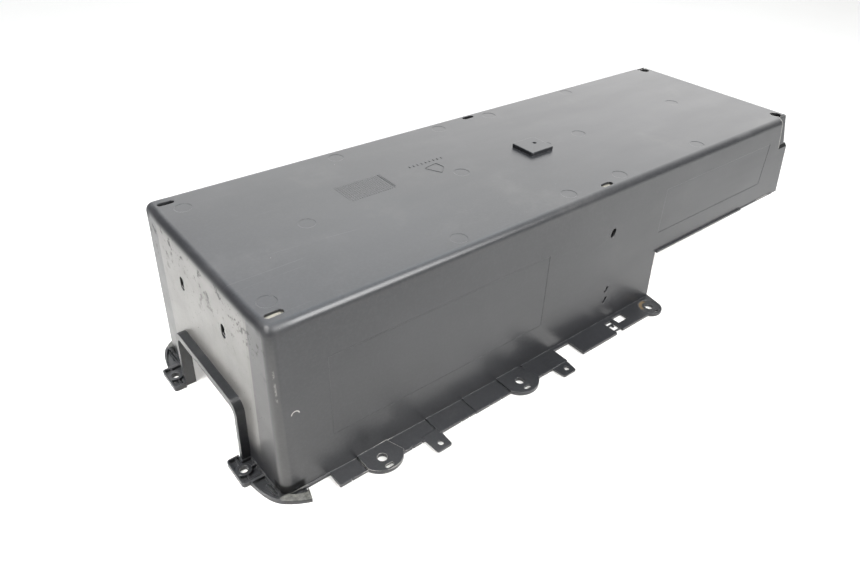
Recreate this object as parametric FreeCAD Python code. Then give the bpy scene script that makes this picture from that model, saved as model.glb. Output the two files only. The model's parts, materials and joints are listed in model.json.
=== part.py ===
import FreeCAD, Part
import math
import os
from FreeCAD import Vector

# Traction battery pack for a light electric vehicle, in millimetres.
# +X runs towards the shallow end, -X is the end with the cable arch, +Z is up.
# The origin is the centre of the footprint, on the surface that the rim stands on.

# ---- case: a deep drawn box with a shallow rear section, open underneath ----
CASE_TOP = 213.0          # flat roof above the rim
WALL = 3.0
FRONT_X_TOP = -441.6      # each wall leans outwards on its way down
FRONT_DRAFT = 0.018
SIDE_Y_TOP = 140.0
SIDE_DRAFT = 0.0253
REAR_X_TOP = 442.9
REAR_DRAFT = 0.2
STEP_X_FLOOR = 148.5      # wall between the deep and the shallow section
STEP_DRAFT = 0.063
RIM_Z = 80.0              # underside of the shallow section
FACET_Y = 100.0           # the front wall is flat inside this and falls back outside it
FACET_SLOPE = 0.05
CORNER_R = 10.0
ROOF_EDGE_R = 9.0
SHELL_OUT = 480.0         # beyond the case on every side, for cutting tools

# ---- cable arch in the front wall ----
ARCH_Y = 77.0
ARCH_TOP = 83.0
ARCH_THICK_TOP = 9.0
ARCH_THICK_LEG = 6.0
ARCH_OUT = 9.7
ARCH_BEND_R = 15.0

# ---- mounting flange along the foot ----
FLANGE_UNDER = 1.6        # the plates hang above the surface that the walls stand on
FLANGE_TOP = 5.5
TILE_DROP = 1.4           # each tile's top falls away by this much towards +X
LIP = 2.2
WIDE_FLANGE_Y = 176.0     # outer edge of the widest plate
TILES = (                 # start X, end X, outer Y and drop of each plate
    (-390.5, -352.0, 166.5, TILE_DROP),
    (-319.0, -262.7, 169.7, TILE_DROP),
    (-262.7, -208.0, 171.3, TILE_DROP),
    (-208.0, -146.0, 172.0, TILE_DROP),
    (-110.0, -54.0, 173.5, 0.0),
    (-24.5, 43.5, WIDE_FLANGE_Y, 0.0),
    (57.4, 130.0, 175.0, 0.0),
)
NOTCH_X = (-377.0, -300.0, -287.0, -231.0, -219.0, -187.0, -169.0, -100.0, -12.0)
BOSSES = ((-335.3, 162.5, 181.0), (-131.1, 165.0, 186.0))     # hole X, hole Y, outer Y
BOSS_MIDDLE = 2.3         # the pad's middle is this far towards +X of its hole
BOSS_HALF = 23.3
BOSS_CROWN = 14.5         # height of the pad's round end
BOSS_HOLE_R = 5.5
BOSS_TOP = 6.5
SLOT_WEB_UNDER = 4.2      # the pad is thin round its drain slot, hollowed from below up to here
REAR_BOSS = (128.4, 164.2)
REAR_BOSS_R = 18.0
REAR_END_X = 150.5        # end of the flange at the wall
WASHER_SEAT_R = 15.0
TABS = (                  # hole X, middle X, half width at the root and at the tip
    (-271.0, -271.5, 11.5, 10.0),
    (-65.5, -68.0, 14.2, 10.5),
)
TAB_Y = 183.0
TAB_HOLE_R = 3.5
TAB_OUT_Y = 192.0
EAR_X = -469.5
EAR_Y = (68.0, 107.0)
EAR_RING = (-459.8, 89.2)
EAR_RING_R = 8.5
EAR_HOLE_R = 4.75
EAR_TOP = 6.2
SKIRT_FLOOR = 1.8         # under the long pocket of the corner skirt
SKIRT_WEB = 0.8           # under the deep pocket beside the corner

# ---- closing plates ----
BASE_Z = 4.0
BASE_THICK = 3.0
GASKET = 1.5
BULKHEAD_X = -372.0
BULKHEAD_THICK = 3.0
COVER_Z = 83.5
COVER_THICK = 2.5
PLATE_GAP = 0.6
SCREW_R = 2.5
HEAD_R = 4.6
HEAD_H = 2.6

# ---- cell modules ----
MODULE_X = (-275.0, -120.0, 35.0)
CELLS_PER_MODULE = 7      # an odd count brings the two poles out on opposite sides
CELL_W = 135.0
CELL_T = 33.5
CELL_H = 183.0
CELL_Z = 10.0
SPACER_T = 0.8
END_PLATE_T = 6.0
TERMINAL_X = 45.0
TERMINAL_H = 3.0

# ---- electronics deck in the shallow section ----
DECK_Z = 94.0
DECK_THICK = 3.0

UP = Vector(0, 0, 1)
ALONG_X = Vector(1, 0, 0)
ALONG_Y = Vector(0, 1, 0)


# ---- small building blocks ----

def box(x0, x1, y0, y1, z0, z1):
    """Box between two opposite corners."""
    return Part.makeBox(x1 - x0, y1 - y0, z1 - z0, Vector(x0, y0, z0))


def rod(radius, start, length, axis=UP):
    """Round bar from its start point along an axis."""
    return Part.makeCylinder(radius, length, Vector(*start), axis)


def closed_wire(points):
    return Part.makePolygon(points + [points[0]])


def plan_prism(points, z0, z1):
    """Outline seen from above, raised from z0 to z1."""
    face = Part.Face(closed_wire([Vector(x, y, z0) for x, y in points]))
    return face.extrude(Vector(0, 0, z1 - z0))


def side_prism(points, y0, y1):
    """Outline in X and Z, drawn out from y0 to y1."""
    face = Part.Face(closed_wire([Vector(x, y0, z) for x, z in points]))
    return face.extrude(Vector(0, y1 - y0, 0))


def drafted_block(lower, z_low, upper, z_high):
    """Solid between two outlines whose matching edges are parallel."""
    low = [Vector(x, y, z_low) for x, y in lower]
    high = [Vector(x, y, z_high) for x, y in upper]
    faces = [Part.Face(closed_wire(low)), Part.Face(closed_wire(high))]
    for i in range(len(low)):
        j = (i + 1) % len(low)
        faces.append(Part.Face(closed_wire([low[i], low[j], high[j], high[i]])))
    solid = Part.Solid(Part.Shell(faces))
    if solid.Volume < 0:
        solid.reverse()
    return solid


def slot_wire(along, half_width):
    """Slot outline round the origin in the XY plane, long along X."""
    reach = along / 2 - half_width
    tip = reach + half_width
    right = Part.Arc(Vector(reach, -half_width, 0), Vector(tip, 0, 0), Vector(reach, half_width, 0))
    left = Part.Arc(Vector(-reach, half_width, 0), Vector(-tip, 0, 0), Vector(-reach, -half_width, 0))
    top = Part.LineSegment(Vector(reach, half_width, 0), Vector(-reach, half_width, 0))
    bottom = Part.LineSegment(Vector(-reach, -half_width, 0), Vector(reach, -half_width, 0))
    return Part.Wire([right.toShape(), top.toShape(), left.toShape(), bottom.toShape()])


def slot_cutter(x, y, along, width, z0, z1):
    """Upright slot, long along X."""
    bar = Part.Face(slot_wire(along, width / 2)).extrude(Vector(0, 0, z1 - z0))
    bar.translate(Vector(x, y, z0))
    return bar


def rounded_box(x0, x1, y0, y1, z0, z1, radius):
    """Box with its four upright edges rounded."""
    block = box(x0, x1, y0, y1, z0, z1)
    upright = [e for e in block.Edges if abs(e.BoundBox.ZLength - (z1 - z0)) < 1e-6]
    return block.makeFillet(radius, upright)


def mirrored(shape):
    """The same shape on the other long side."""
    return shape.mirror(Vector(0, 0, 0), ALONG_Y)


def both_sides(shape):
    return [shape, mirrored(shape)]


def joined(shapes):
    return shapes[0].multiFuse(shapes[1:]).removeSplitter()


def cut_all(shape, tools):
    return shape.cut(Part.makeCompound(tools))


def edges_where(shape, test):
    return [e for e in shape.Edges if test(e.BoundBox)]


def save(name, shape):
    """Write one node; a group of loose solids is written as a compound."""
    solids = shape.Solids
    out = solids[0] if len(solids) == 1 else Part.makeCompound(solids)
    if not out.isValid():
        print("not valid:", name)
    out.exportStep("parts/" + name + ".step")
    print("%-28s %2d solid(s) %10.1f cm3" % (name, len(solids), out.Volume / 1000))
    return out


# ---- case ----

def side_y(z):
    return SIDE_Y_TOP + SIDE_DRAFT * (CASE_TOP - z)


def front_x(z):
    return FRONT_X_TOP - FRONT_DRAFT * (CASE_TOP - z)


def rear_x(z):
    return REAR_X_TOP + REAR_DRAFT * (CASE_TOP - z)


def step_x(z):
    return STEP_X_FLOOR - STEP_DRAFT * z


def deep_outline(z, inset, end):
    """Outline of the deep section at a height, moved inwards by inset."""
    x0 = front_x(z) + inset
    y = side_y(z) - inset
    shoulder = x0 + FACET_SLOPE * (y - FACET_Y)
    return [(x0, -FACET_Y), (shoulder, -y), (end, -y), (end, y), (shoulder, y), (x0, FACET_Y)]


def shallow_outline(z, inset, start):
    y = side_y(z) - inset
    end = rear_x(z) - inset
    return [(start, -y), (end, -y), (end, y), (start, y)]


def rounded_case(inset, z_low, rim, roof, corner_r, edge_r):
    """Deep and shallow sections in one block, with rounded front corners and roof edge."""
    deep = drafted_block(
        deep_outline(z_low, inset, step_x(z_low) - inset), z_low,
        deep_outline(roof, inset, step_x(roof) - inset), roof)
    overlap_x = 0.0
    shallow = drafted_block(
        shallow_outline(rim, inset, overlap_x), rim,
        shallow_outline(roof, inset, overlap_x), roof)
    block = deep.fuse(shallow).removeSplitter()
    corner_y = side_y(roof) - inset - 1.0

    def is_corner(b):
        tall = b.ZLength > 60.0
        wide = min(abs(b.YMin), abs(b.YMax)) > corner_y
        at_front = b.XMax < -400.0
        return tall and wide and at_front

    block = block.makeFillet(corner_r, edges_where(block, is_corner))
    rim_of_roof = edges_where(block, lambda b: b.ZMin > roof - 0.01)
    return block.makeFillet(edge_r, rim_of_roof)


def arch_profile(half_y, top, bend_r, x0, x1):
    """Round-shouldered doorway standing on the floor, drawn out along X."""
    bend = bend_r * (1 - math.sqrt(0.5))
    edges = []
    corners = [(-half_y, 0.0), (-half_y, top - bend_r), (-half_y + bend_r, top),
               (half_y - bend_r, top), (half_y, top - bend_r), (half_y, 0.0)]
    points = [Vector(x0, y, z) for y, z in corners]
    left_mid = Vector(x0, -half_y + bend, top - bend)
    right_mid = Vector(x0, half_y - bend, top - bend)
    edges.append(Part.LineSegment(points[0], points[1]).toShape())
    edges.append(Part.Arc(points[1], left_mid, points[2]).toShape())
    edges.append(Part.LineSegment(points[2], points[3]).toShape())
    edges.append(Part.Arc(points[3], right_mid, points[4]).toShape())
    edges.append(Part.LineSegment(points[4], points[5]).toShape())
    edges.append(Part.LineSegment(points[5], points[0]).toShape())
    return Part.Face(Part.Wire(edges)).extrude(Vector(x1 - x0, 0, 0))


def arch_rim():
    """Raised rim round the arch, leaning with the front wall."""
    rim = arch_profile(ARCH_Y, ARCH_TOP, ARCH_BEND_R, EAR_X, front_x(ARCH_TOP) + 1.5)
    low, high = -5.0, 95.0
    low_x = front_x(low) - ARCH_OUT
    high_x = front_x(high) - ARCH_OUT
    beyond = side_prism([(-SHELL_OUT, low), (low_x, low), (high_x, high), (-SHELL_OUT, high)], -100.0, 100.0)
    return rim.cut(beyond)


def arch_opening():
    half_y = ARCH_Y - ARCH_THICK_LEG
    top = ARCH_TOP - ARCH_THICK_TOP
    mouth_x = front_x(0) - ARCH_OUT - 0.3      # just clear of the rim, so the ears keep their inner lips
    doorway = arch_profile(half_y, top, ARCH_BEND_R - ARCH_THICK_LEG, mouth_x, -430.0)
    return doorway.fuse(box(mouth_x, -430.0, -half_y, half_y, -1.0, 1.0))


def ear():
    """Tray-like foot beside the arch, with a ring round its bolt hole (near side)."""
    y_in, y_out = EAR_Y
    outer = rounded_box(EAR_X, front_x(0) + 1.5, -y_out, -y_in, 0.0, EAR_TOP, 3.5)
    outer = outer.fuse(box(front_x(0) - 8.0, front_x(0) + 1.5, -y_out, -y_in, 0.0, EAR_TOP))
    leg_out = ARCH_Y + 1.5
    tray_floor = 2.0
    tray = box(EAR_X + LIP, front_x(0) - 0.8, -y_out + LIP, -leg_out, tray_floor, EAR_TOP + 1)
    by_leg_x = front_x(0) - ARCH_OUT - 1.5
    tray = tray.fuse(box(EAR_X + LIP, by_leg_x, -leg_out, -y_in - LIP, tray_floor, EAR_TOP + 1))
    ring_x, ring_y = EAR_RING
    keep = [rod(EAR_RING_R, (ring_x, -ring_y, tray_floor), EAR_TOP - tray_floor)]
    rib_top = EAR_TOP - 0.8
    keep.append(box(ring_x - 0.8, ring_x + 0.8, -y_out, -y_in, tray_floor, rib_top))
    keep.append(box(ring_x, front_x(0), -ring_y - 0.8, -ring_y + 0.8, tray_floor, rib_top))
    tray = cut_all(tray, keep)
    body = outer.cut(tray)
    return body


def corner_skirt():
    """Curved skirt round the front corner, pocketed between its lip and the wall (near side)."""
    points = [Vector(-462.5, -104.0, 0), Vector(-458.5, -125.0, 0), Vector(-451.5, -142.5, 0),
              Vector(-437.0, -155.5, 0), Vector(-421.9, -163.5, 0)]
    curve = Part.BSplineCurve()
    curve.interpolate(points)
    inner = [Vector(-418.5, -152.0, 0), Vector(-418.5, -143.5, 0), Vector(-440.0, -143.5, 0),
             Vector(-443.6, -140.0, 0), Vector(-443.6, -104.0, 0)]
    rest = Part.makePolygon([points[-1]] + inner + [points[0]])
    outline = Part.Wire([curve.toShape()] + rest.Edges)
    skirt = Part.Face(outline).extrude(Vector(0, 0, EAR_TOP - 0.4))
    long_outline = [(-460.4, -109.0), (-457.4, -121.0), (-452.6, -134.5),
                    (-448.6, -141.5), (-446.8, -137.5), (-446.4, -109.0)]
    long_pocket = plan_prism(long_outline, SKIRT_FLOOR, 10.0)
    gap_outline = [(-442.6, -141.8), (-431.4, -149.4), (-421.4, -153.2), (-417.0, -146.2), (-437.0, -145.2)]
    deep_pocket = plan_prism(gap_outline, SKIRT_WEB, 10.0)
    rib_outline = [(-450.2, -119.0), (-449.4, -119.0), (-448.2, -139.0), (-449.0, -139.0)]
    rib = plan_prism(rib_outline, 0.5, EAR_TOP - 2.0)
    return skirt.cut(long_pocket).cut(deep_pocket).fuse(rib)


def tile(x0, x1, outer_y, drop):
    """One plate of the foot flange (near side)."""
    wall_y = -side_y(0) + 1.5
    profile = [(x0, FLANGE_UNDER), (x1, FLANGE_UNDER), (x1, FLANGE_TOP - drop), (x0, FLANGE_TOP)]
    return side_prism(profile, -outer_y, wall_y)


def boss_pad(hole_x, outer_y):
    """Bolt pad with a round end, reaching from the wall (near side)."""
    x = hole_x + BOSS_MIDDLE
    wall_y = -side_y(0) + 1.5
    shoulder_y = -outer_y + BOSS_CROWN
    corners = [(x - BOSS_HALF, wall_y), (x - BOSS_HALF, shoulder_y), (x + BOSS_HALF, shoulder_y),
               (x + BOSS_HALF - 8.0, wall_y)]
    left_wall, left, right, right_wall = [Vector(cx, cy, FLANGE_UNDER) for cx, cy in corners]
    end = Part.Arc(left, Vector(x, -outer_y, FLANGE_UNDER), right).toShape()
    sides = Part.makePolygon([right, right_wall, left_wall, left])
    pad = Part.Face(Part.Wire([end] + sides.Edges))
    return pad.extrude(Vector(0, 0, BOSS_TOP - FLANGE_UNDER))


def rear_boss_pad():
    """Round bolt pad at the step, level with the plate beside it (near side)."""
    x, y = REAR_BOSS
    wall_y = -side_y(0) + 1.5
    pad = rod(REAR_BOSS_R, (x, -y, FLANGE_UNDER), FLANGE_TOP - FLANGE_UNDER)
    web = plan_prism([(x - REAR_BOSS_R, wall_y), (REAR_END_X, wall_y), (x + REAR_BOSS_R, -y - 1.5),
                      (x - REAR_BOSS_R, -y)], FLANGE_UNDER, FLANGE_TOP)
    return pad.fuse(web)


def tab(x, root_half, tip_half):
    """Narrow screw tab standing out of the flange (near side)."""
    root_y = 164.0
    outline = [(x - root_half, -root_y), (x - tip_half, -TAB_OUT_Y), (x + tip_half, -TAB_OUT_Y),
               (x + root_half, -root_y)]
    blade = plan_prism(outline, FLANGE_UNDER + 1.0, FLANGE_TOP - 0.5)
    tip = edges_where(blade, lambda b: b.YMax < -TAB_OUT_Y + 0.1 and b.ZLength > 1.0)
    return blade.makeFillet(2.5, tip)


def foot_flange():
    """All plates, pads and tabs along one long side (near side)."""
    parts = [boss_pad(x, outer_y) for x, _, outer_y in BOSSES]
    parts.append(rear_boss_pad())
    parts += [tile(x0, x1, outer_y, drop) for x0, x1, outer_y, drop in TILES]
    parts += [tab(x, root_half, tip_half) for _, x, root_half, tip_half in TABS]
    wall_y = -side_y(0) + 1.5
    for x0, x1, proud in ((-424.0, -388.0, 1.2), (-56.0, -22.0, 4.4)):
        parts.append(box(x0, x1, -side_y(0) - proud, wall_y, FLANGE_UNDER, FLANGE_TOP))
    # the last two plates are joined by a web at the wall and two thin bars, one with a small catch
    gap_x0, gap_x1 = TILES[-2][1] - 1.5, TILES[-1][0] + 1.5
    bar_top = FLANGE_UNDER + 2.4
    parts.append(box(gap_x0, gap_x1, -153.0, wall_y, FLANGE_UNDER, FLANGE_TOP))
    for bar_y in (-158.3, -170.0):
        parts.append(box(gap_x0, gap_x1, bar_y - 0.9, bar_y + 0.9, FLANGE_UNDER, bar_top))
    parts.append(box(51.4, 53.6, -163.0, -158.0, FLANGE_UNDER, bar_top))
    return parts


def flange_holes():
    """Holes through the foot flange on one long side (near side)."""
    low, high = -1.0, 12.0
    tools = []
    for x, y, _ in BOSSES:
        tools.append(rod(BOSS_HOLE_R, (x, -y, low), high))
        tools.append(slot_cutter(x + 0.2, -y - 13.4, 10.0, 4.6, low, high))
        tools.append(box(x - 7.5, x + 7.5, -y - 16.4, -y - 8.0, low, SLOT_WEB_UNDER))
    tools.append(rod(BOSS_HOLE_R, (REAR_BOSS[0], -REAR_BOSS[1], low), high))
    tools.append(slot_cutter(REAR_BOSS[0] + 1.0, -REAR_BOSS[1] - 12.0, 7.0, 3.4, low, high))
    tools.append(rod(WASHER_SEAT_R, (REAR_BOSS[0], -REAR_BOSS[1], FLANGE_TOP - 0.4), 2.0))
    tools += [rod(TAB_HOLE_R, (hole_x, -TAB_Y, low), high) for hole_x, _, _, _ in TABS]
    tools.append(rod(EAR_HOLE_R, (EAR_RING[0], -EAR_RING[1], low), high))
    tools.append(box(62.5, 83.0, -163.0, -150.3, low, high))      # square window near the rear bolt hole
    notch_depth, notch_width = 1.2, 1.6
    for x in NOTCH_X:
        outer_y = [edge for x0, x1, edge, _ in TILES if x0 < x < x1][0]
        tools.append(box(x, x + notch_width, -outer_y - 1.0, -outer_y + notch_depth, low, high))
    return tools


ROOF_PINS = [  # centre X and Y of the round ejector marks on the roof
    (-410, 101.5), (-418, -102), (-318.5, -3), (-206.5, 117), (-206.5, -118.5), (-102.5, -3), (-40, 117.5),
    (-35.5, -117), (52.5, 116), (56.5, -118), (112.5, -2), (221.5, 120), (222, -118.5), (329.5, -1.5)]
PIN_R = 9.5
PIN_DEPTH = 0.25
SMALL_PIN = (50.5, -3.0)
SMALL_PIN_R = 3.6
ROOF_SLOTS = [(-421.5, 121.5), (21.5, 126.8)]     # long holes near the roof's edge
ROOF_HOLE = (424.5, 121.5)                        # round ones at the rear corners
PAD_X = (2.5, 42.5)                               # square pad on the roof
PAD_Y = (-20.0, 18.0)
PAD_H = 5.0
PAD_HOLE = (28.5, 2.0)
FRONT_HOLE_Y = 49.0
FRONT_HOLE_Z = 156.0
BASE_BOSS_X = (-356.0, -197.5, -42.5, 122.0)
BASE_BOSS_Y = 135.0
COVER_BOSS_X = (162.0, 255.0, 348.0, 441.0)
COVER_BOSS_Y = 133.5
BOSS_WALL_R = 6.5
PILOT_R = 2.1
BULKHEAD_BOSS_Y = 132.0
RELIEF_TOP_Y = 131.0      # floor of the pockets at the rear corners, at the roof
RELIEF_LOW_Y = 138.3      # and at the ledge
RELIEF_X = 413.5
LEDGE_Z = 153.5
LEDGE_RISE = 13.5
REAR_CORNER_R = 6.0
REAR_CORNER_STEPS = 8
BULKHEAD_BOSS_Z = (40.0, 110.0, 180.0)


def roof_pad():
    pad = rounded_box(PAD_X[0], PAD_X[1], PAD_Y[0], PAD_Y[1], CASE_TOP - 1.0, CASE_TOP + PAD_H, 3.0)
    crown = edges_where(pad, lambda b: b.ZMin > CASE_TOP + PAD_H - 0.01)
    return pad.makeFillet(1.2, crown)


def roof_holes():
    low, high = CASE_TOP - 8.0, CASE_TOP + 8.0
    tools = []
    for x, y in ROOF_SLOTS:
        tools += both_sides(slot_cutter(x, y, 19.0, 7.5, low, high))
    tools += both_sides(rod(8.0, (ROOF_HOLE[0], ROOF_HOLE[1], low), high - low))
    tools.append(rod(2.8, (PAD_HOLE[0], PAD_HOLE[1], CASE_TOP), 8.0))
    tools += [rod(PIN_R, (x, y, CASE_TOP - PIN_DEPTH), 2.0) for x, y in ROOF_PINS]
    tools.append(rod(SMALL_PIN_R, (SMALL_PIN[0], SMALL_PIN[1], CASE_TOP - PIN_DEPTH), 2.0))
    return tools


SIDE_HOLE_LONG = 12.8
SIDE_HOLE_WIDE = 7.8
SIDE_HOLE_LEAN = 20.0
CURVED_SLOTS = [(38.2, 61.8), (38.6, 44.8)]     # centres of the two arcs, as x and z
CURVED_SLOT_IN = 5.0
CURVED_SLOT_OUT = 9.0


def wall_holes():
    """Holes in the front wall and in the near side wall."""
    tools = []
    tall = Part.Face(slot_wire(17.0, 4.5)).extrude(Vector(0, 0, 30.0))
    tall.rotate(Vector(0, 0, 0), ALONG_Y, 90)
    tall.translate(Vector(front_x(FRONT_HOLE_Z) - 10.0, -FRONT_HOLE_Y, FRONT_HOLE_Z))
    tools += both_sides(tall)
    side_hole = Part.Face(slot_wire(SIDE_HOLE_LONG, SIDE_HOLE_WIDE / 2)).extrude(Vector(0, 0, 20.0))
    side_hole.rotate(Vector(0, 0, 0), UP, SIDE_HOLE_LEAN)
    side_hole.rotate(Vector(0, 0, 0), ALONG_Y, 90)
    side_hole.rotate(Vector(0, 0, 0), UP, 90)
    side_hole.translate(Vector(35.3, -side_y(147.4) - 10.0, 147.4))
    tools.append(side_hole)
    for x, z in CURVED_SLOTS:
        outer = rod(CURVED_SLOT_OUT, (x, -160.0, z), 30.0, ALONG_Y)
        inner = rod(CURVED_SLOT_IN, (x, -161.0, z), 32.0, ALONG_Y)
        wedge = [(x, z), (x + 20.0, z + 3.5), (x + 20.0, z - 36.0), (x + 11.7, z - 36.0)]
        tools.append(outer.cut(inner).common(side_prism(wedge, -160.0, -130.0)))
    return tools


def panel_recess(x0, x1, z0, z1, depth):
    """Shallow step in the near side wall, following its draft."""
    lower = [(x0, -200.0), (x1, -200.0), (x1, -side_y(z0) + depth), (x0, -side_y(z0) + depth)]
    upper = [(x0, -200.0), (x1, -200.0), (x1, -side_y(z1) + depth), (x0, -side_y(z1) + depth)]
    return drafted_block(lower, z0, upper, z1)


def rear_corner_relief():
    """Pocket in the near rear corner with a sloping ledge under it."""
    above = CASE_TOP + 5.0
    out_y = 147.0
    lean = 18.0           # the pocket's front edge runs backwards on its way down
    floor_z = LEDGE_Z + LEDGE_RISE
    outer = [Vector(RELIEF_X, -out_y, above), Vector(SHELL_OUT, -out_y, above),
             Vector(SHELL_OUT, -out_y, LEDGE_Z), Vector(RELIEF_X + lean, -out_y, LEDGE_Z)]
    inner = [Vector(RELIEF_X + 1.0, -RELIEF_TOP_Y, above), Vector(SHELL_OUT, -RELIEF_TOP_Y, above),
             Vector(SHELL_OUT, -RELIEF_LOW_Y, floor_z), Vector(RELIEF_X + lean - 3.0, -RELIEF_LOW_Y, floor_z)]
    faces = [Part.Face(closed_wire(outer))]
    faces.append(Part.Face(closed_wire([inner[0], inner[1], inner[2]])))
    faces.append(Part.Face(closed_wire([inner[0], inner[2], inner[3]])))
    for i in range(4):
        j = (i + 1) % 4
        faces.append(Part.Face(closed_wire([outer[i], outer[j], inner[j]])))
        faces.append(Part.Face(closed_wire([outer[i], inner[j], inner[i]])))
    solid = Part.Solid(Part.Shell(faces))
    if solid.Volume < 0:
        solid.reverse()
    return solid


def rear_corner_rounding():
    """Takes the upright edge off the near rear corner, above the ledge."""
    low, high = LEDGE_Z + LEDGE_RISE, CASE_TOP + 1.0
    lean = (RELIEF_LOW_Y - RELIEF_TOP_Y) / (CASE_TOP - low)
    outlines = []
    for z in (low, high):
        x = rear_x(z)
        y = RELIEF_LOW_Y - lean * (z - low)
        arc = []
        for i in range(REAR_CORNER_STEPS + 1):
            turn = math.radians(90.0 * i / REAR_CORNER_STEPS)
            arc.append((x - REAR_CORNER_R * (1 - math.sin(turn)), -y + REAR_CORNER_R * (1 - math.cos(turn))))
        beyond = [(x + 8.0, -y + REAR_CORNER_R), (x + 8.0, -y - 8.0), (x - REAR_CORNER_R, -y - 8.0)]
        outlines.append(arc + beyond)
    return drafted_block(outlines[0], low, outlines[1], high)


def rear_edge_chamfer():
    """Bevel along the roof's edge over the pocket in the near rear corner."""
    y = -RELIEF_TOP_Y
    wedge = [Vector(RELIEF_X + 2.0, y - 0.5, CASE_TOP - 3.5), Vector(RELIEF_X + 2.0, y + 3.0, CASE_TOP),
             Vector(RELIEF_X + 2.0, y + 3.0, CASE_TOP + 1.0), Vector(RELIEF_X + 2.0, y - 0.5, CASE_TOP + 1.0)]
    return Part.Face(closed_wire(wedge)).extrude(Vector(60.0, 0, 0))


def wall_boss(x, y, z, height):
    """Upright screw boss with a web to the near wall."""
    web = box(x - 2.5, x + 2.5, -side_y(z), -y, z, z + height)
    return rod(BOSS_WALL_R, (x, -y, z), height).fuse(web)


def inner_bosses():
    """Screw bosses inside the case for the base plate, the rear cover and the bulkhead."""
    parts = []
    for x in BASE_BOSS_X:
        parts += both_sides(wall_boss(x, BASE_BOSS_Y, BASE_Z + BASE_THICK + GASKET, 26.0))
    for x in COVER_BOSS_X:
        parts += both_sides(wall_boss(x, COVER_BOSS_Y, COVER_Z + COVER_THICK + GASKET, 20.0))
    for z in BULKHEAD_BOSS_Z:
        x = BULKHEAD_X + BULKHEAD_THICK + GASKET
        boss = rod(8.0, (x, -BULKHEAD_BOSS_Y, z), 16.0, ALONG_X)
        web = box(x, x + 16.0, -side_y(z), -BULKHEAD_BOSS_Y, z - 2.5, z + 2.5)
        parts += both_sides(boss.fuse(web))
    return parts


def inner_pilots():
    tools = []
    for x in BASE_BOSS_X:
        tools += both_sides(rod(PILOT_R + 0.5, (x, -BASE_BOSS_Y, 0.0), 28.0))
    for x in COVER_BOSS_X:
        tools += both_sides(rod(PILOT_R + 0.5, (x, -COVER_BOSS_Y, COVER_Z), 18.0))
    for z in BULKHEAD_BOSS_Z:
        tools += both_sides(rod(PILOT_R + 0.5, (BULKHEAD_X, -BULKHEAD_BOSS_Y, z), 18.0, ALONG_X))
    return tools


def housing():
    outer = rounded_case(0.0, 0.0, RIM_Z, CASE_TOP, CORNER_R, ROOF_EDGE_R)
    cavity = rounded_case(WALL, -1.0, RIM_Z - 1.0, CASE_TOP - WALL, CORNER_R - WALL, ROOF_EDGE_R - WALL)
    rim_y = -side_y(RIM_Z)
    strip = box(step_x(RIM_Z) + 1.0, 359.0, rim_y - 2.5, rim_y + 1.5, RIM_Z, RIM_Z + 3.0)
    thin_strip = box(358.0, 455.0, rim_y - 0.8, rim_y + 1.5, RIM_Z, RIM_Z + 2.5)
    near = foot_flange() + [ear(), corner_skirt(), strip, thin_strip]
    outside = [outer, arch_rim(), roof_pad()]
    for shape in near:
        outside += both_sides(shape)
    shell = joined(outside).cut(cavity)
    rib_x = step_x(RIM_Z)
    rib_y = side_y(RIM_Z) - 1.0
    step_rib = box(rib_x - WALL, rib_x, -rib_y, rib_y, RIM_Z - 6.0, RIM_Z + 12.0)
    inner_skin = rounded_case(WALL / 2, -1.0, RIM_Z - 1.0, CASE_TOP - WALL / 2, CORNER_R - WALL / 2,
                              ROOF_EDGE_R - WALL / 2)
    backing_y = -RELIEF_TOP_Y + WALL
    backing = box(RELIEF_X - 6.0, SHELL_OUT, -side_y(RIM_Z), backing_y, LEDGE_Z - 4.0, CASE_TOP)
    corner_x = rear_x(CASE_TOP) - REAR_CORNER_R - 1.0
    corner_backing = box(corner_x, SHELL_OUT, -side_y(RIM_Z), backing_y + 6.0, LEDGE_Z - 4.0, CASE_TOP)
    extra = inner_bosses() + both_sides(backing) + both_sides(corner_backing) + [step_rib]
    inside = [piece.common(inner_skin) for piece in extra]
    shell = joined([shell] + inside)
    tools = [arch_opening()] + roof_holes() + wall_holes() + inner_pilots()
    for tool in flange_holes() + [rear_corner_relief(), rear_corner_rounding(), rear_edge_chamfer()]:
        tools += both_sides(tool)
    tools.append(panel_recess(-381.5, -81.5, 56.0, 156.0, 0.25))
    tools.append(panel_recess(138.5, 396.5, 113.0, 178.0, 0.25))
    shell = cut_all(shell, tools)
    bars = [box(front_x(150.0) + 0.8, front_x(150.0) + 2.4, y - 6.0, y + 6.0, 150.0, 151.6)
            for y in (-FRONT_HOLE_Y, FRONT_HOLE_Y)]
    nub = rod(1.8, (rear_x(180.0) - 1.5, -130.5, 178.0), 4.0)
    return joined([shell] + bars + both_sides(nub))


# ---- closing plates, gaskets and screws ----

def plate_outline(z, gap, x0, x1):
    y = side_y(z) - WALL - gap
    return [(x0, -y), (x1, -y), (x1, y), (x0, y)]


def base_plate():
    """Sheet under the deep section, with raised pads that take the module bolts."""
    x0, x1 = BULKHEAD_X - 2.0, step_x(BASE_Z) - WALL - PLATE_GAP - 0.3
    plate = plan_prism(plate_outline(BASE_Z + BASE_THICK, PLATE_GAP, x0, x1), BASE_Z, BASE_Z + BASE_THICK)
    pads = [rod(7.0, (x, y, BASE_Z), CELL_Z - BASE_Z) for x, y in module_bolt_places()]
    plate = joined([plate] + pads)
    tools = [rod(3.05, (x, y, 0.0), 20.0) for x, y in module_bolt_places()]
    for x in BASE_BOSS_X:
        tools += both_sides(rod(SCREW_R + 0.3, (x, -BASE_BOSS_Y, 0.0), 20.0))
    return cut_all(plate, tools)


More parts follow.
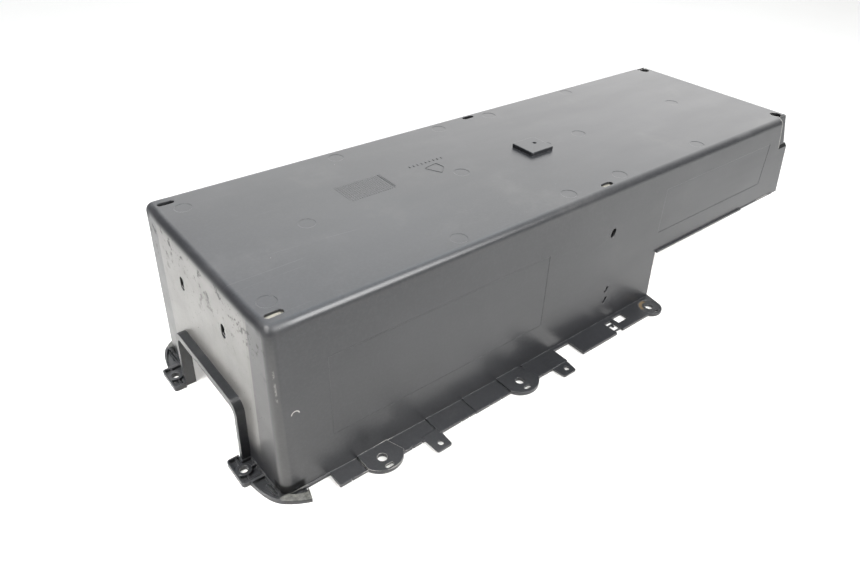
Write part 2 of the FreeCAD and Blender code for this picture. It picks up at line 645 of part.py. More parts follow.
def frame_gasket(outline, width, z0, holes, hole_r):
    """Flat ring seal inside an outline."""
    (x0, y0), (x1, _), (_, y1), _ = outline
    window = box(x0 + width, x1 - width, y0 + width, y1 - width, z0 - 1, z0 + 5)
    ring = box(x0, x1, y0, y1, z0, z0 + GASKET).cut(window)
    return cut_all(ring, [rod(hole_r, (x, y, z0 - 1), 5.0) for x, y in holes])


def base_gasket():
    z0 = BASE_Z + BASE_THICK
    outline = plate_outline(z0 + GASKET, PLATE_GAP, BULKHEAD_X - 2.0, step_x(BASE_Z) - WALL - PLATE_GAP - 0.6)
    holes = [(x, y) for x in BASE_BOSS_X for y in (-BASE_BOSS_Y, BASE_BOSS_Y)]
    ring = frame_gasket(outline, 10.0, z0, holes, SCREW_R + 0.3)
    pads = [rod(7.3, (x, y, z0 - 1), 5.0) for x, y in module_bolt_places()]
    return cut_all(ring, pads)


def washer_screw(x, y, z_under_head, length, down=True):
    """Flange screw along Z; its head is below the plate when down is true."""
    sign = -1.0 if down else 1.0
    head_z = z_under_head - HEAD_H if down else z_under_head
    shank_z = z_under_head if down else z_under_head - length
    head = rod(HEAD_R, (x, y, head_z), HEAD_H)
    socket = hexagon_bar(x, y, z_under_head + sign * HEAD_H, 2.0, -sign * 1.4)
    shank = rod(SCREW_R, (x, y, shank_z), length)
    return head.fuse(shank).cut(socket)


def hexagon_bar(x, y, z, radius, height):
    points = []
    for i in range(6):
        angle = math.radians(60 * i)
        points.append(Vector(x + radius * math.cos(angle), y + radius * math.sin(angle), z))
    return Part.Face(closed_wire(points)).extrude(Vector(0, 0, height))


def base_screws():
    screws = []
    for x in BASE_BOSS_X:
        screw = washer_screw(x, -BASE_BOSS_Y, BASE_Z, 20.0)
        screws += both_sides(screw)
    return Part.makeCompound(screws)


def rear_cover():
    """Sheet under the shallow section, with pressed stiffening beads."""
    x0 = step_x(COVER_Z) + 0.8
    x1 = rear_x(COVER_Z + COVER_THICK) - WALL - PLATE_GAP
    outline = plate_outline(COVER_Z + COVER_THICK, PLATE_GAP, x0, x1)
    plate = plan_prism(outline, COVER_Z, COVER_Z + COVER_THICK)
    beads = [slot_cutter((x0 + x1) / 2, y, 230.0, 14.0, COVER_Z - 1.0, COVER_Z + 0.8) for y in (-80, 0, 80)]
    tools = list(beads)
    for x in COVER_BOSS_X:
        tools += both_sides(rod(SCREW_R + 0.3, (x, -COVER_BOSS_Y, 0.0), 120.0))
    return cut_all(plate, tools)


def rear_gasket():
    z0 = COVER_Z + COVER_THICK
    x1 = rear_x(z0 + GASKET) - WALL - PLATE_GAP
    outline = plate_outline(z0 + GASKET, PLATE_GAP, step_x(COVER_Z) + 0.8, x1)
    holes = [(x, y) for x in COVER_BOSS_X for y in (-COVER_BOSS_Y, COVER_BOSS_Y)]
    return frame_gasket(outline, 12.0, z0, holes, SCREW_R + 0.3)


def rear_cover_screws():
    screws = []
    for x in COVER_BOSS_X:
        screw = washer_screw(x, -COVER_BOSS_Y, COVER_Z, 16.0)
        screws += both_sides(screw)
    return Part.makeCompound(screws)


# ---- cable bay bulkhead with its sockets ----

BULKHEAD_LOW = BASE_Z + BASE_THICK + GASKET
BULKHEAD_HIGH = 203.0
POWER_Y = 62.0
POWER_Z = 95.0
SIGNAL_Y = -62.0
SIGNAL_Z = 95.0
VENT_Z = 150.0


def bulkhead_outline(gap):
    """Corners of the wall across the case, as Y and Z."""
    y_low = side_y(BULKHEAD_LOW) - WALL - gap
    y_high = side_y(BULKHEAD_HIGH) - WALL - gap - 1.5
    return [(-y_low, BULKHEAD_LOW), (y_low, BULKHEAD_LOW), (y_high, BULKHEAD_HIGH), (-y_high, BULKHEAD_HIGH)]


def cross_prism(points, x0, x1):
    """Outline in Y and Z, drawn out from x0 to x1."""
    face = Part.Face(closed_wire([Vector(x0, y, z) for y, z in points]))
    return face.extrude(Vector(x1 - x0, 0, 0))


def bulkhead_screw_places():
    return [(y, z) for z in BULKHEAD_BOSS_Z for y in (-BULKHEAD_BOSS_Y, BULKHEAD_BOSS_Y)]


def bay_bulkhead():
    wall = cross_prism(bulkhead_outline(PLATE_GAP), BULKHEAD_X, BULKHEAD_X + BULKHEAD_THICK)
    x = BULKHEAD_X - 5.0
    tools = [rod(SCREW_R + 0.3, (x, y, z), 20.0, ALONG_X) for y, z in bulkhead_screw_places()]
    tools.append(box(x, x + 20.0, POWER_Y - 24.0, POWER_Y + 24.0, POWER_Z - 14.0, POWER_Z + 14.0))
    tools.append(rod(13.0, (x, SIGNAL_Y, SIGNAL_Z), 20.0, ALONG_X))
    tools.append(rod(10.0, (x, 0.0, VENT_Z), 20.0, ALONG_X))
    tools += [rod(1.7, (x, y, z), 20.0, ALONG_X) for y, z in socket_screw_places()]
    return cut_all(wall, tools)


def bulkhead_gasket():
    back = BULKHEAD_X + BULKHEAD_THICK
    outer = cross_prism(bulkhead_outline(PLATE_GAP), back, back + GASKET)
    window = [(-120.0, 22.0), (120.0, 22.0), (118.0, 190.0), (-118.0, 190.0)]
    inner = cross_prism(window, BULKHEAD_X, BULKHEAD_X + 10.0)
    tools = [rod(SCREW_R + 0.3, (BULKHEAD_X, y, z), 20.0, ALONG_X) for y, z in bulkhead_screw_places()]
    return cut_all(outer.cut(inner), tools)


def bulkhead_screws():
    screws = []
    for y, z in bulkhead_screw_places():
        head = rod(HEAD_R, (BULKHEAD_X - HEAD_H, y, z), HEAD_H, ALONG_X)
        shank = rod(SCREW_R, (BULKHEAD_X, y, z), 18.0, ALONG_X)
        slot = box(BULKHEAD_X - HEAD_H - 1.0, BULKHEAD_X - HEAD_H + 1.2, y - 3.4, y + 3.4, z - 0.6, z + 0.6)
        screws.append(head.fuse(shank).cut(slot))
    return Part.makeCompound(screws)


def socket_screw_places():
    places = [(POWER_Y + dy, POWER_Z + dz) for dy in (-29.0, 29.0) for dz in (-14.0, 14.0)]
    places += [(SIGNAL_Y + dy, SIGNAL_Z + dz) for dy in (-13.0, 13.0) for dz in (-13.0, 13.0)]
    return places


def power_socket():
    """Two-pole power socket: flange, shroud and two contact pins."""
    x = BULKHEAD_X
    flange = box(x - 3.0, x, POWER_Y - 34.0, POWER_Y + 34.0, POWER_Z - 19.0, POWER_Z + 19.0)
    shroud = box(x - 22.0, x + 14.0, POWER_Y - 23.0, POWER_Y + 23.0, POWER_Z - 13.0, POWER_Z + 13.0)
    shroud = shroud.makeFillet(4.0, edges_where(shroud, lambda b: b.XLength > 30.0))
    bay = box(x - 23.0, x + 4.0, POWER_Y - 20.0, POWER_Y + 20.0, POWER_Z - 10.0, POWER_Z + 10.0)
    body = joined([flange, shroud]).cut(bay)
    pins = [rod(4.0, (x - 16.0, POWER_Y + dy, POWER_Z), 34.0, ALONG_X) for dy in (-10.0, 10.0)]
    body = joined([body] + pins)
    holes = [rod(1.7, (x - 10.0, y, z), 20.0, ALONG_X) for y, z in socket_screw_places()[:4]]
    return cut_all(body, holes)


def signal_socket():
    """Round signal socket with a square flange."""
    x = BULKHEAD_X
    flange = box(x - 2.5, x, SIGNAL_Y - 17.0, SIGNAL_Y + 17.0, SIGNAL_Z - 17.0, SIGNAL_Z + 17.0)
    barrel = rod(12.5, (x - 18.0, SIGNAL_Y, SIGNAL_Z), 30.0, ALONG_X)
    bay = rod(10.0, (x - 19.0, SIGNAL_Y, SIGNAL_Z), 20.0, ALONG_X)
    body = joined([flange, barrel]).cut(bay)
    pins = []
    for i in range(6):
        angle = math.radians(60 * i)
        y = SIGNAL_Y + 6.0 * math.cos(angle)
        z = SIGNAL_Z + 6.0 * math.sin(angle)
        pins.append(rod(0.9, (x - 10.0, y, z), 12.0, ALONG_X))
    body = joined([body] + pins)
    holes = [rod(1.7, (x - 10.0, y, z), 20.0, ALONG_X) for y, z in socket_screw_places()[4:]]
    return cut_all(body, holes)


def socket_screws():
    screws = []
    for i, (y, z) in enumerate(socket_screw_places()):
        front = BULKHEAD_X - (3.0 if i < 4 else 2.5)
        head = rod(3.0, (front - 2.0, y, z), 2.0, ALONG_X)
        screws.append(head.fuse(rod(1.6, (front, y, z), 12.0, ALONG_X)))
    return Part.makeCompound(screws)


def vent_valve():
    """Pressure vent: hexagon collar, domed cap with slots, threaded neck."""
    x = BULKHEAD_X
    collar = rod(13.5, (x - 4.0, 0.0, VENT_Z), 4.0, ALONG_X)
    cap = rod(11.0, (x - 9.0, 0.0, VENT_Z), 5.0, ALONG_X)
    cap = cap.makeFillet(2.0, edges_where(cap, lambda b: b.XMax < x - 8.9))
    neck = rod(9.8, (x, 0.0, VENT_Z), 10.0, ALONG_X)
    body = joined([collar, cap, neck])
    bore = rod(6.0, (x - 6.0, 0.0, VENT_Z), 30.0, ALONG_X)
    slots = [box(x - 8.0, x - 5.0, y - 1.0, y + 1.0, VENT_Z - 20.0, VENT_Z + 20.0) for y in (-5.0, 5.0)]
    return cut_all(body, [bore] + slots)


# ---- cell modules ----

STACK = CELLS_PER_MODULE * CELL_T + (CELLS_PER_MODULE - 1) * SPACER_T
END_Y = STACK / 2
FOOT_X = (-45.0, 45.0)
FOOT_Y = END_Y + END_PLATE_T + 5.5
STRAP_Z = (55.0, 135.0)


def module_bolt_places():
    return [(xm + dx, y) for xm in MODULE_X for dx in FOOT_X for y in (-FOOT_Y, FOOT_Y)]


def cell_y(i):
    return -STACK / 2 + i * (CELL_T + SPACER_T)


def cells(xm):
    """Prismatic cells standing on edge, with their terminal pads and vent recess."""
    group = []
    for i in range(CELLS_PER_MODULE):
        y0 = cell_y(i)
        top = CELL_Z + CELL_H
        can = rounded_box(xm - CELL_W / 2, xm + CELL_W / 2, y0, y0 + CELL_T, CELL_Z, top, 2.0)
        yc = y0 + CELL_T / 2
        pads = []
        for xp in (xm - TERMINAL_X, xm + TERMINAL_X):
            pads.append(box(xp - 11.0, xp + 11.0, yc - 7.0, yc + 7.0, top - 1, top + TERMINAL_H))
        can = joined([can] + pads)
        group.append(can.cut(slot_cutter(xm, yc, 26.0, 12.0, top - 1.0, top + 1.0)))
    return Part.makeCompound(group)


def spacers(xm):
    group = []
    for i in range(CELLS_PER_MODULE - 1):
        y0 = cell_y(i) + CELL_T
        x0 = xm - CELL_W / 2 + 1
        x1 = xm + CELL_W / 2 - 1
        group.append(box(x0, x1, y0, y0 + SPACER_T, CELL_Z + 2, CELL_Z + CELL_H - 4))
    return Part.makeCompound(group)


def end_plate(xm):
    """Pressed end plate with two bolted feet and lightening pockets (near side)."""
    y_in = -END_Y
    y_out = y_in - END_PLATE_T
    plate = box(xm - CELL_W / 2, xm + CELL_W / 2, y_out, y_in, CELL_Z, CELL_Z + CELL_H - 5.0)
    feet = [box(xm + dx - 9.0, xm + dx + 9.0, -FOOT_Y - 5.5, y_in, CELL_Z, CELL_Z + 5.0) for dx in FOOT_X]
    plate = joined([plate] + feet)
    tools = [rod(3.05, (xm + dx, -FOOT_Y, 0.0), 30.0) for dx in FOOT_X]
    for dx in (-42.0, 0.0, 42.0):
        for z0, z1 in ((20.0, 44.0), (74.0, 124.0), (154.0, 180.0)):
            tools.append(box(xm + dx - 16.0, xm + dx + 16.0, y_out - 1.0, y_out + 3.0, z0, z1))
    return cut_all(plate, tools)


def straps(xm):
    """Two steel bands round the cells and end plates."""
    half_x = CELL_W / 2 + 0.1
    half_y = END_Y + END_PLATE_T + 0.1
    rings = []
    for z in STRAP_Z:
        outer = box(xm - half_x - 0.9, xm + half_x + 0.9, -half_y - 0.9, half_y + 0.9, z, z + 16.0)
        inner = box(xm - half_x, xm + half_x, -half_y, half_y, z - 1.0, z + 17.0)
        rings.append(outer.cut(inner))
    return Part.makeCompound(rings)


BUSBAR_Z = CELL_Z + CELL_H + TERMINAL_H
BUSBAR_T = 1.6
LINK_Z = BUSBAR_Z + BUSBAR_T


def busbar_tray(xm):
    """Insulating frame round the terminals, open over the vents."""
    z0 = CELL_Z + CELL_H + 0.2
    z1 = z0 + 2.4
    tray = box(xm - CELL_W / 2 + 1, xm + CELL_W / 2 - 1, -END_Y, END_Y, z0, z1)
    tools = [box(xm - 15.0, xm + 15.0, -END_Y + 6.0, END_Y - 6.0, z0 - 1, z1 + 1)]
    for i in range(CELLS_PER_MODULE):
        yc = cell_y(i) + CELL_T / 2
        for s in (-1, 1):
            x = xm + s * TERMINAL_X
            tools.append(box(x - 11.3, x + 11.3, yc - 7.3, yc + 7.3, z0 - 1, z1 + 1))
    return cut_all(tray, tools)


def busbars(xm, first_side):
    """Links that join neighbouring cells in series, each with a raised relief fold."""
    links = []
    for i in range(CELLS_PER_MODULE - 1):
        side = first_side if i % 2 == 0 else -first_side
        x = xm + side * TERMINAL_X
        y0 = cell_y(i) + CELL_T / 2 - 7.0
        y1 = cell_y(i + 1) + CELL_T / 2 + 7.0
        middle = (y0 + y1) / 2
        bar = box(x - 10.0, x + 10.0, y0, y1, BUSBAR_Z, BUSBAR_Z + BUSBAR_T)
        fold = rod(3.0, (x - 10.0, middle, BUSBAR_Z), 20.0, ALONG_X)
        hollow = rod(1.6, (x - 11.0, middle, BUSBAR_Z), 22.0, ALONG_X)
        fold = fold.common(box(x - 20, x + 20, y0, y1, BUSBAR_Z, BUSBAR_Z + 5.0))
        links.append(bar.fuse(fold).cut(hollow))
    return Part.makeCompound(links)


def module_cover(xm):
    """Clear lid over the busbars, with finger ribs and side clips."""
    z0 = BUSBAR_Z + 3.4
    lid = box(xm - CELL_W / 2, xm + CELL_W / 2, -END_Y, END_Y, z0, z0 + 1.6)
    skirts = [box(xm + s * (CELL_W / 2 - 0.75) - 0.75, xm + s * (CELL_W / 2 - 0.75) + 0.75, -END_Y, END_Y,
                  LINK_Z + 0.4, z0 + 1.0) for s in (-1, 1)]
    ribs = [box(xm - 50.0, xm + 50.0, y - 0.8, y + 0.8, z0 + 1.0, z0 + 2.4) for y in (-90, -45, 0, 45, 90)]
    return joined([lid] + skirts + ribs)


def sense_board(xm):
    """Narrow circuit board over the vents, with its connector."""
    z0 = CELL_Z + CELL_H + 0.8
    board = box(xm - 13.0, xm + 13.0, -END_Y + 8.0, END_Y - 8.0, z0, z0 + 1.6)
    plug = box(xm - 8.0, xm + 8.0, -END_Y + 10.0, -END_Y + 20.0, z0 + 1.0, z0 + 4.6)
    chips = [box(xm - 4.0, xm + 4.0, y - 4.0, y + 4.0, z0 + 1.0, z0 + 2.8) for y in (-60, -20, 20, 60)]
    return joined([board, plug] + chips)


def module_mats():
    """Foam mats between the base plate and the cells."""
    y = END_Y - 2.0
    mats = [box(xm - 60.0, xm + 60.0, -y, y, BASE_Z + BASE_THICK, CELL_Z) for xm in MODULE_X]
    return Part.makeCompound(mats)


def module_bolts():
    bolts = []
    for x, y in module_bolt_places():
        foot_top = CELL_Z + 5.0
        head = hexagon_bar(x, y, foot_top + 1.2, 5.6, 4.0)
        washer = rod(5.3, (x, y, foot_top), 1.2)
        shank = rod(3.0, (x, y, BASE_Z), foot_top - BASE_Z + 1.0)
        bolts.append(joined([head, washer, shank]))
    return Part.makeCompound(bolts)


# ---- electronics in the shallow section ----

DECK_X = (160.0, 436.0)
DECK_Y = 118.0
DECK_TOP = DECK_Z + DECK_THICK
DECK_FOOT = [(182.0, -98.0), (182.0, 98.0), (412.0, -98.0), (412.0, 98.0)]
BOARD_X = (300.0, 424.0)
BOARD_Y = (-92.0, 92.0)
BOARD_Z = DECK_TOP + 14.0
STANDOFFS = [(308.0, -84.0), (308.0, 84.0), (416.0, -84.0), (416.0, 84.0)]


def deck_plate():
    """Mounting deck on four feet that stand on the rear cover's inside."""
    deck = rounded_box(DECK_X[0], DECK_X[1], -DECK_Y, DECK_Y, DECK_Z, DECK_TOP, 8.0)
    foot_z = COVER_Z + COVER_THICK
    feet = [rod(9.0, (x, y, foot_z), DECK_Z - foot_z + 1.0) for x, y in DECK_FOOT]
    tools = [rod(2.6, (x, y, 0.0), 150.0) for x, y in DECK_FOOT]
    tools += [slot_cutter(230.0, y, 60.0, 12.0, DECK_Z - 1, DECK_TOP + 1) for y in (-100.0, 100.0)]
    return cut_all(joined([deck] + feet), tools)


def deck_screws():
    screws = []
    for x, y in DECK_FOOT:
        head = rod(4.6, (x, y, DECK_TOP), 3.0)
        shank = rod(2.5, (x, y, COVER_Z + COVER_THICK), DECK_TOP - COVER_Z - COVER_THICK)
        screws.append(head.fuse(shank).cut(hexagon_bar(x, y, DECK_TOP + 3.0, 2.2, -1.6)))
    return Part.makeCompound(screws)


def board_standoffs():
    return Part.makeCompound([rod(4.0, (x, y, DECK_TOP), BOARD_Z - DECK_TOP) for x, y in STANDOFFS])


def management_board():
    """Battery management board with chips, capacitors and connectors."""
    board = rounded_box(BOARD_X[0], BOARD_X[1], BOARD_Y[0], BOARD_Y[1], BOARD_Z, BOARD_Z + 1.6, 3.0)
    top = BOARD_Z + 1.0
    pieces = [board]
    for i in range(4):
        y = -66.0 + 44.0 * i
        pieces.append(box(318.0, 332.0, y - 7.0, y + 7.0, top, top + 2.6))
        pieces.append(rod(6.0, (350.0, y, top), 13.0))
        pieces.append(box(408.0, 418.0, y - 14.0, y + 14.0, top, top + 11.0))
    pieces.append(box(368.0, 392.0, -14.0, 14.0, top, top + 3.0))
    return joined(pieces)


def heat_sink():
    """Finned block on the management board."""
    z0 = BOARD_Z + 1.6
    x0, x1, y0, y1 = 364.0, 398.0, 24.0, 86.0
    base = box(x0, x1, y0, y1, z0, z0 + 3.0)
    fins = [box(x0 + 5.0 * i, x0 + 5.0 * i + 1.6, y0, y1, z0 + 2.0, z0 + 18.0) for i in range(7)]
    return joined([base] + fins)


def contactor():
    """Main contactor: sealed can, mounting foot and two power studs."""
    x, y, z = 200.0, 58.0, DECK_TOP
    foot = box(x - 26.0, x + 26.0, y - 20.0, y + 20.0, z, z + 4.0)
    can = rod(22.0, (x, y, z + 3.0), 52.0)
    can = can.makeFillet(3.0, edges_where(can, lambda b: b.ZMin > z + 54.9))
    wall = box(x - 1.2, x + 1.2, y - 20.0, y + 20.0, z + 50.0, z + 62.0)
    studs = [rod(4.0, (x + dx, y, z + 50.0), 16.0) for dx in (-11.0, 11.0)]
    return joined([foot, can, wall] + studs)


def precharge_relay():
    x, y, z = 262.0, 66.0, DECK_TOP
    case = box(x - 14.0, x + 14.0, y - 10.0, y + 10.0, z, z + 24.0)
    return case.makeFillet(1.5, edges_where(case, lambda b: b.ZLength > 20.0 or b.ZMin > z + 23.0))


def precharge_resistor():
    """Finned metal-clad resistor."""
    x, y, z = 262.0, 26.0, DECK_TOP
    base = box(x - 20.0, x + 20.0, y - 8.0, y + 8.0, z, z + 2.5)
    body = rod(7.0, (x - 14.0, y, z + 8.0), 28.0, ALONG_X)
    fins = []
    for i in range(6):
        fin_y = y - 7.5 + 3.0 * i
        fins.append(box(x - 14.0, x + 14.0, fin_y, fin_y + 1.0, z + 1.0, z + 15.0))
    leads = rod(1.4, (x - 21.0, y, z + 8.0), 42.0, ALONG_X)
    return joined([base, body, leads] + fins)


FUSE = (205.0, -40.0)
SHUNT = (236.0, -84.0)


def fuse_base():
    """Moulded holder with two studs for the main fuse."""
    x, y = FUSE
    z = DECK_TOP
    block = box(x - 38.0, x + 38.0, y - 14.0, y + 14.0, z, z + 14.0)
    trough = box(x - 24.0, x + 24.0, y - 11.0, y + 11.0, z + 4.0, z + 20.0)
    studs = [rod(3.9, (x + dx, y, z + 10.0), 16.0) for dx in (-31.0, 31.0)]
    return joined([block.cut(trough)] + studs)


def main_fuse():
    x, y = FUSE
    z = DECK_TOP + 14.0
    barrel = rod(10.0, (x - 22.0, y, z + 1.5), 44.0, ALONG_X)
    caps = [rod(10.8, (x + dx, y, z + 1.5), 6.0, ALONG_X) for dx in (-24.0, 18.0)]
    blades = [box(x + dx - 8.5, x + dx + 8.5, y - 9.0, y + 9.0, z, z + 3.0) for dx in (-31.0, 31.0)]
    body = joined([barrel, blades[0], blades[1]] + caps)
    return cut_all(body, [rod(4.1, (x + dx, y, z - 5.0), 20.0) for dx in (-31.0, 31.0)])


def current_shunt():
    """Shunt: two copper blocks bridged by resistance strips."""
    x, y = SHUNT
    z = DECK_TOP
    blocks = [box(x + s * 26.0 - 14.0, x + s * 26.0 + 14.0, y - 12.0, y + 12.0, z, z + 9.0) for s in (-1, 1)]
    strips = [box(x - 13.0, x + 13.0, ys - 3.0, ys + 3.0, z + 3.5, z + 5.5) for ys in (y - 8.0, y, y + 8.0)]
    return joined(blocks + strips)


# ---- conductors ----

BAR_Y = 130.2             # insulated bars run between the modules and the side walls
BAR_T = 3.0
BAR_Z = (148.0, 166.0)


def run_bar(side, x_end, y_end, turn_z, end_z):
    """Long flat bar from the power socket to the shallow section on one side."""
    z0, z1 = BAR_Z
    x_start = BULKHEAD_X + 18.0
    x_lead = x_start + BAR_T
    pole_y = POWER_Y + side * 10.0
    lead = box(x_start, x_lead, pole_y - 7.0, pole_y + 7.0, POWER_Z - 8.0, z1)
    y_low, y_high = sorted((pole_y - side * 7.0, side * (BAR_Y + BAR_T)))
    across = box(x_start, x_lead, y_low, y_high, z0, z1)
    y0, y1 = sorted((side * BAR_Y, side * (BAR_Y + BAR_T)))
    along = box(x_start, x_end, y0, y1, z0, z1)
    y_low, y_high = sorted((side * (BAR_Y + BAR_T), y_end - side * 7.0))
    turn = box(x_end - 16.0, x_end, y_low, y_high, turn_z, turn_z + BAR_T)
    pieces = [lead, across, along, turn]
    if end_z < turn_z:
        pieces.append(box(x_end - 16.0, x_end, y_end - 1.5, y_end + 1.5, end_z, turn_z + BAR_T))
    return joined(pieces)


def module_links():
    """Flexible links that carry the current from one module to the next."""
    links = []
    for i in range(len(MODULE_X) - 1):
        side = 1 if i % 2 == 0 else -1
        y = side * (END_Y - CELL_T / 2)
        x0 = MODULE_X[i] + TERMINAL_X - 10.0
        x1 = MODULE_X[i + 1] - TERMINAL_X + 10.0
        links.append(box(x0, x1, y - 7.0, y + 7.0, BUSBAR_Z, BUSBAR_Z + BUSBAR_T))
    return Part.makeCompound(links)


def sense_harness():
    """Bundle of sense wires beside the modules, with a branch to each board's edge."""
    y = -BAR_Y - 1.5
    z = 180.0
    trunk = rod(3.0, (MODULE_X[0], y, z), 425.0, ALONG_X)
    branches = [rod(2.0, (xm, y, z), 12.0) for xm in MODULE_X]
    knots = []
    for xm in MODULE_X:
        knots.append(Part.makeSphere(3.2, Vector(xm, y, z)))
    return joined([trunk] + branches + knots)


def roof_felt():
    """Insulating felt bonded under the roof."""
    z0, z1 = CASE_TOP - WALL - 3.6, CASE_TOP - WALL - 0.1
    x0, x1 = front_x(z1) + WALL + 7.0, rear_x(z1) - WALL - 7.0
    y = side_y(z1) - WALL - 10.5
    felt = rounded_box(x0, x1, -y, y, z0, z1, 5.0)
    holes = [rod(4.0, (PAD_HOLE[0], PAD_HOLE[1], z0 - 1), 10.0)]
    for x, y in ROOF_SLOTS:
        holes.append(slot_cutter(x, y, 44.0, 26.0, z0 - 1, z1 + 1))
    for side in (-1, 1):
        holes.append(rod(14.0, (ROOF_HOLE[0], side * ROOF_HOLE[1], z0 - 1), 10.0))
    return cut_all(felt, holes)


os.makedirs("parts", exist_ok=True)
save("housing", housing())
save("roof_felt", roof_felt())
save("base_plate", base_plate())
save("base_gasket", base_gasket())
save("base_screws", base_screws())
save("rear_cover", rear_cover())
save("rear_gasket", rear_gasket())
save("rear_cover_screws", rear_cover_screws())
save("bay_bulkhead", bay_bulkhead())
save("bulkhead_gasket", bulkhead_gasket())
save("bulkhead_screws", bulkhead_screws())
save("power_socket", power_socket())
save("signal_socket", signal_socket())
save("socket_screws", socket_screws())
save("vent_valve", vent_valve())
save("module_mats", module_mats())
save("module_bolts", module_bolts())
save("module_links", module_links())
for number, xm in enumerate(MODULE_X, start=1):
    prefix = "module_%d_" % number
    save(prefix + "cells", cells(xm))
    save(prefix + "spacers", spacers(xm))
    save(prefix + "end_plate_near", end_plate(xm))
    save(prefix + "end_plate_far", mirrored(end_plate(xm)))
    save(prefix + "straps", straps(xm))
    save(prefix + "busbar_tray", busbar_tray(xm))
    save(prefix + "busbars", busbars(xm, 1 if number % 2 else -1))
    save(prefix + "sense_board", sense_board(xm))
    save(prefix + "cover", module_cover(xm))
save("deck_plate", deck_plate())
save("deck_screws", deck_screws())
save("board_standoffs", board_standoffs())
save("management_board", management_board())
save("heat_sink", heat_sink())
save("main_contactor", contactor())
save("precharge_relay", precharge_relay())
save("precharge_resistor", precharge_resistor())
save("fuse_base", fuse_base())
save("main_fuse", main_fuse())
save("current_shunt", current_shunt())
stud_top = DECK_TOP + 66.0
save("positive_bar", run_bar(1, 219.0, 58.0, stud_top, stud_top))
save("negative_bar", run_bar(-1, 222.0, SHUNT[1], BAR_Z[0], DECK_TOP + 9.0))
save("sense_harness", sense_harness())
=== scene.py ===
import json
import math

import bmesh
import bpy
from mathutils import Matrix, Vector, noise


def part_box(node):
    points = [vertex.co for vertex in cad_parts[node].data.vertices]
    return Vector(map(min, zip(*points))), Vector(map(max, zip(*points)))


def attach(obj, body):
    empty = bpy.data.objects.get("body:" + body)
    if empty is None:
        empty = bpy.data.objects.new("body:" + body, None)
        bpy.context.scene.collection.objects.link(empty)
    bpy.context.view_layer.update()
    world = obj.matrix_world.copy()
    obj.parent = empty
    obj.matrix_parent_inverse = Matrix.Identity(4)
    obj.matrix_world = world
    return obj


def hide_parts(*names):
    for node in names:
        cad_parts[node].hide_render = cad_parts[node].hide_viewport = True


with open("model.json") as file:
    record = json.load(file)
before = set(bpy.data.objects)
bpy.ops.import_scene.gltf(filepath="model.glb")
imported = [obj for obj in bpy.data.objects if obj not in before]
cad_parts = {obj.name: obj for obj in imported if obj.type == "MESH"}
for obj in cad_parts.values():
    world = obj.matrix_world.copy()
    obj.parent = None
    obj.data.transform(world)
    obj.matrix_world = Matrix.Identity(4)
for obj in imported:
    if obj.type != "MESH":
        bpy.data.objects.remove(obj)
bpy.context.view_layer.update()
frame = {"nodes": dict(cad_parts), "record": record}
scene = bpy.context.scene
scene.view_settings.view_transform = "Standard"


def link(obj):
    scene.collection.objects.link(obj)
    return obj


# ---- camera ----

CAMERA_AT = Vector((-0.6263, -0.5703, 0.5843))
CAMERA_LENS = 29.0
CAMERA_TURN = Vector((2.0984, -0.7144, 0.4221))       # axis times angle, from the room to the camera

turn = Matrix.Rotation(CAMERA_TURN.length, 3, CAMERA_TURN.normalized())
right, down, ahead = turn[0], turn[1], turn[2]
camera_data = bpy.data.cameras.new("camera")
camera_data.lens = CAMERA_LENS
camera_data.sensor_width = 36.0
camera_data.clip_end = 60.0
camera = link(bpy.data.objects.new("camera", camera_data))
axes = Matrix((right, -down, -ahead)).transposed()
camera.matrix_world = Matrix.Translation(CAMERA_AT) @ axes.to_4x4()
scene.camera = camera


# ---- node helpers ----

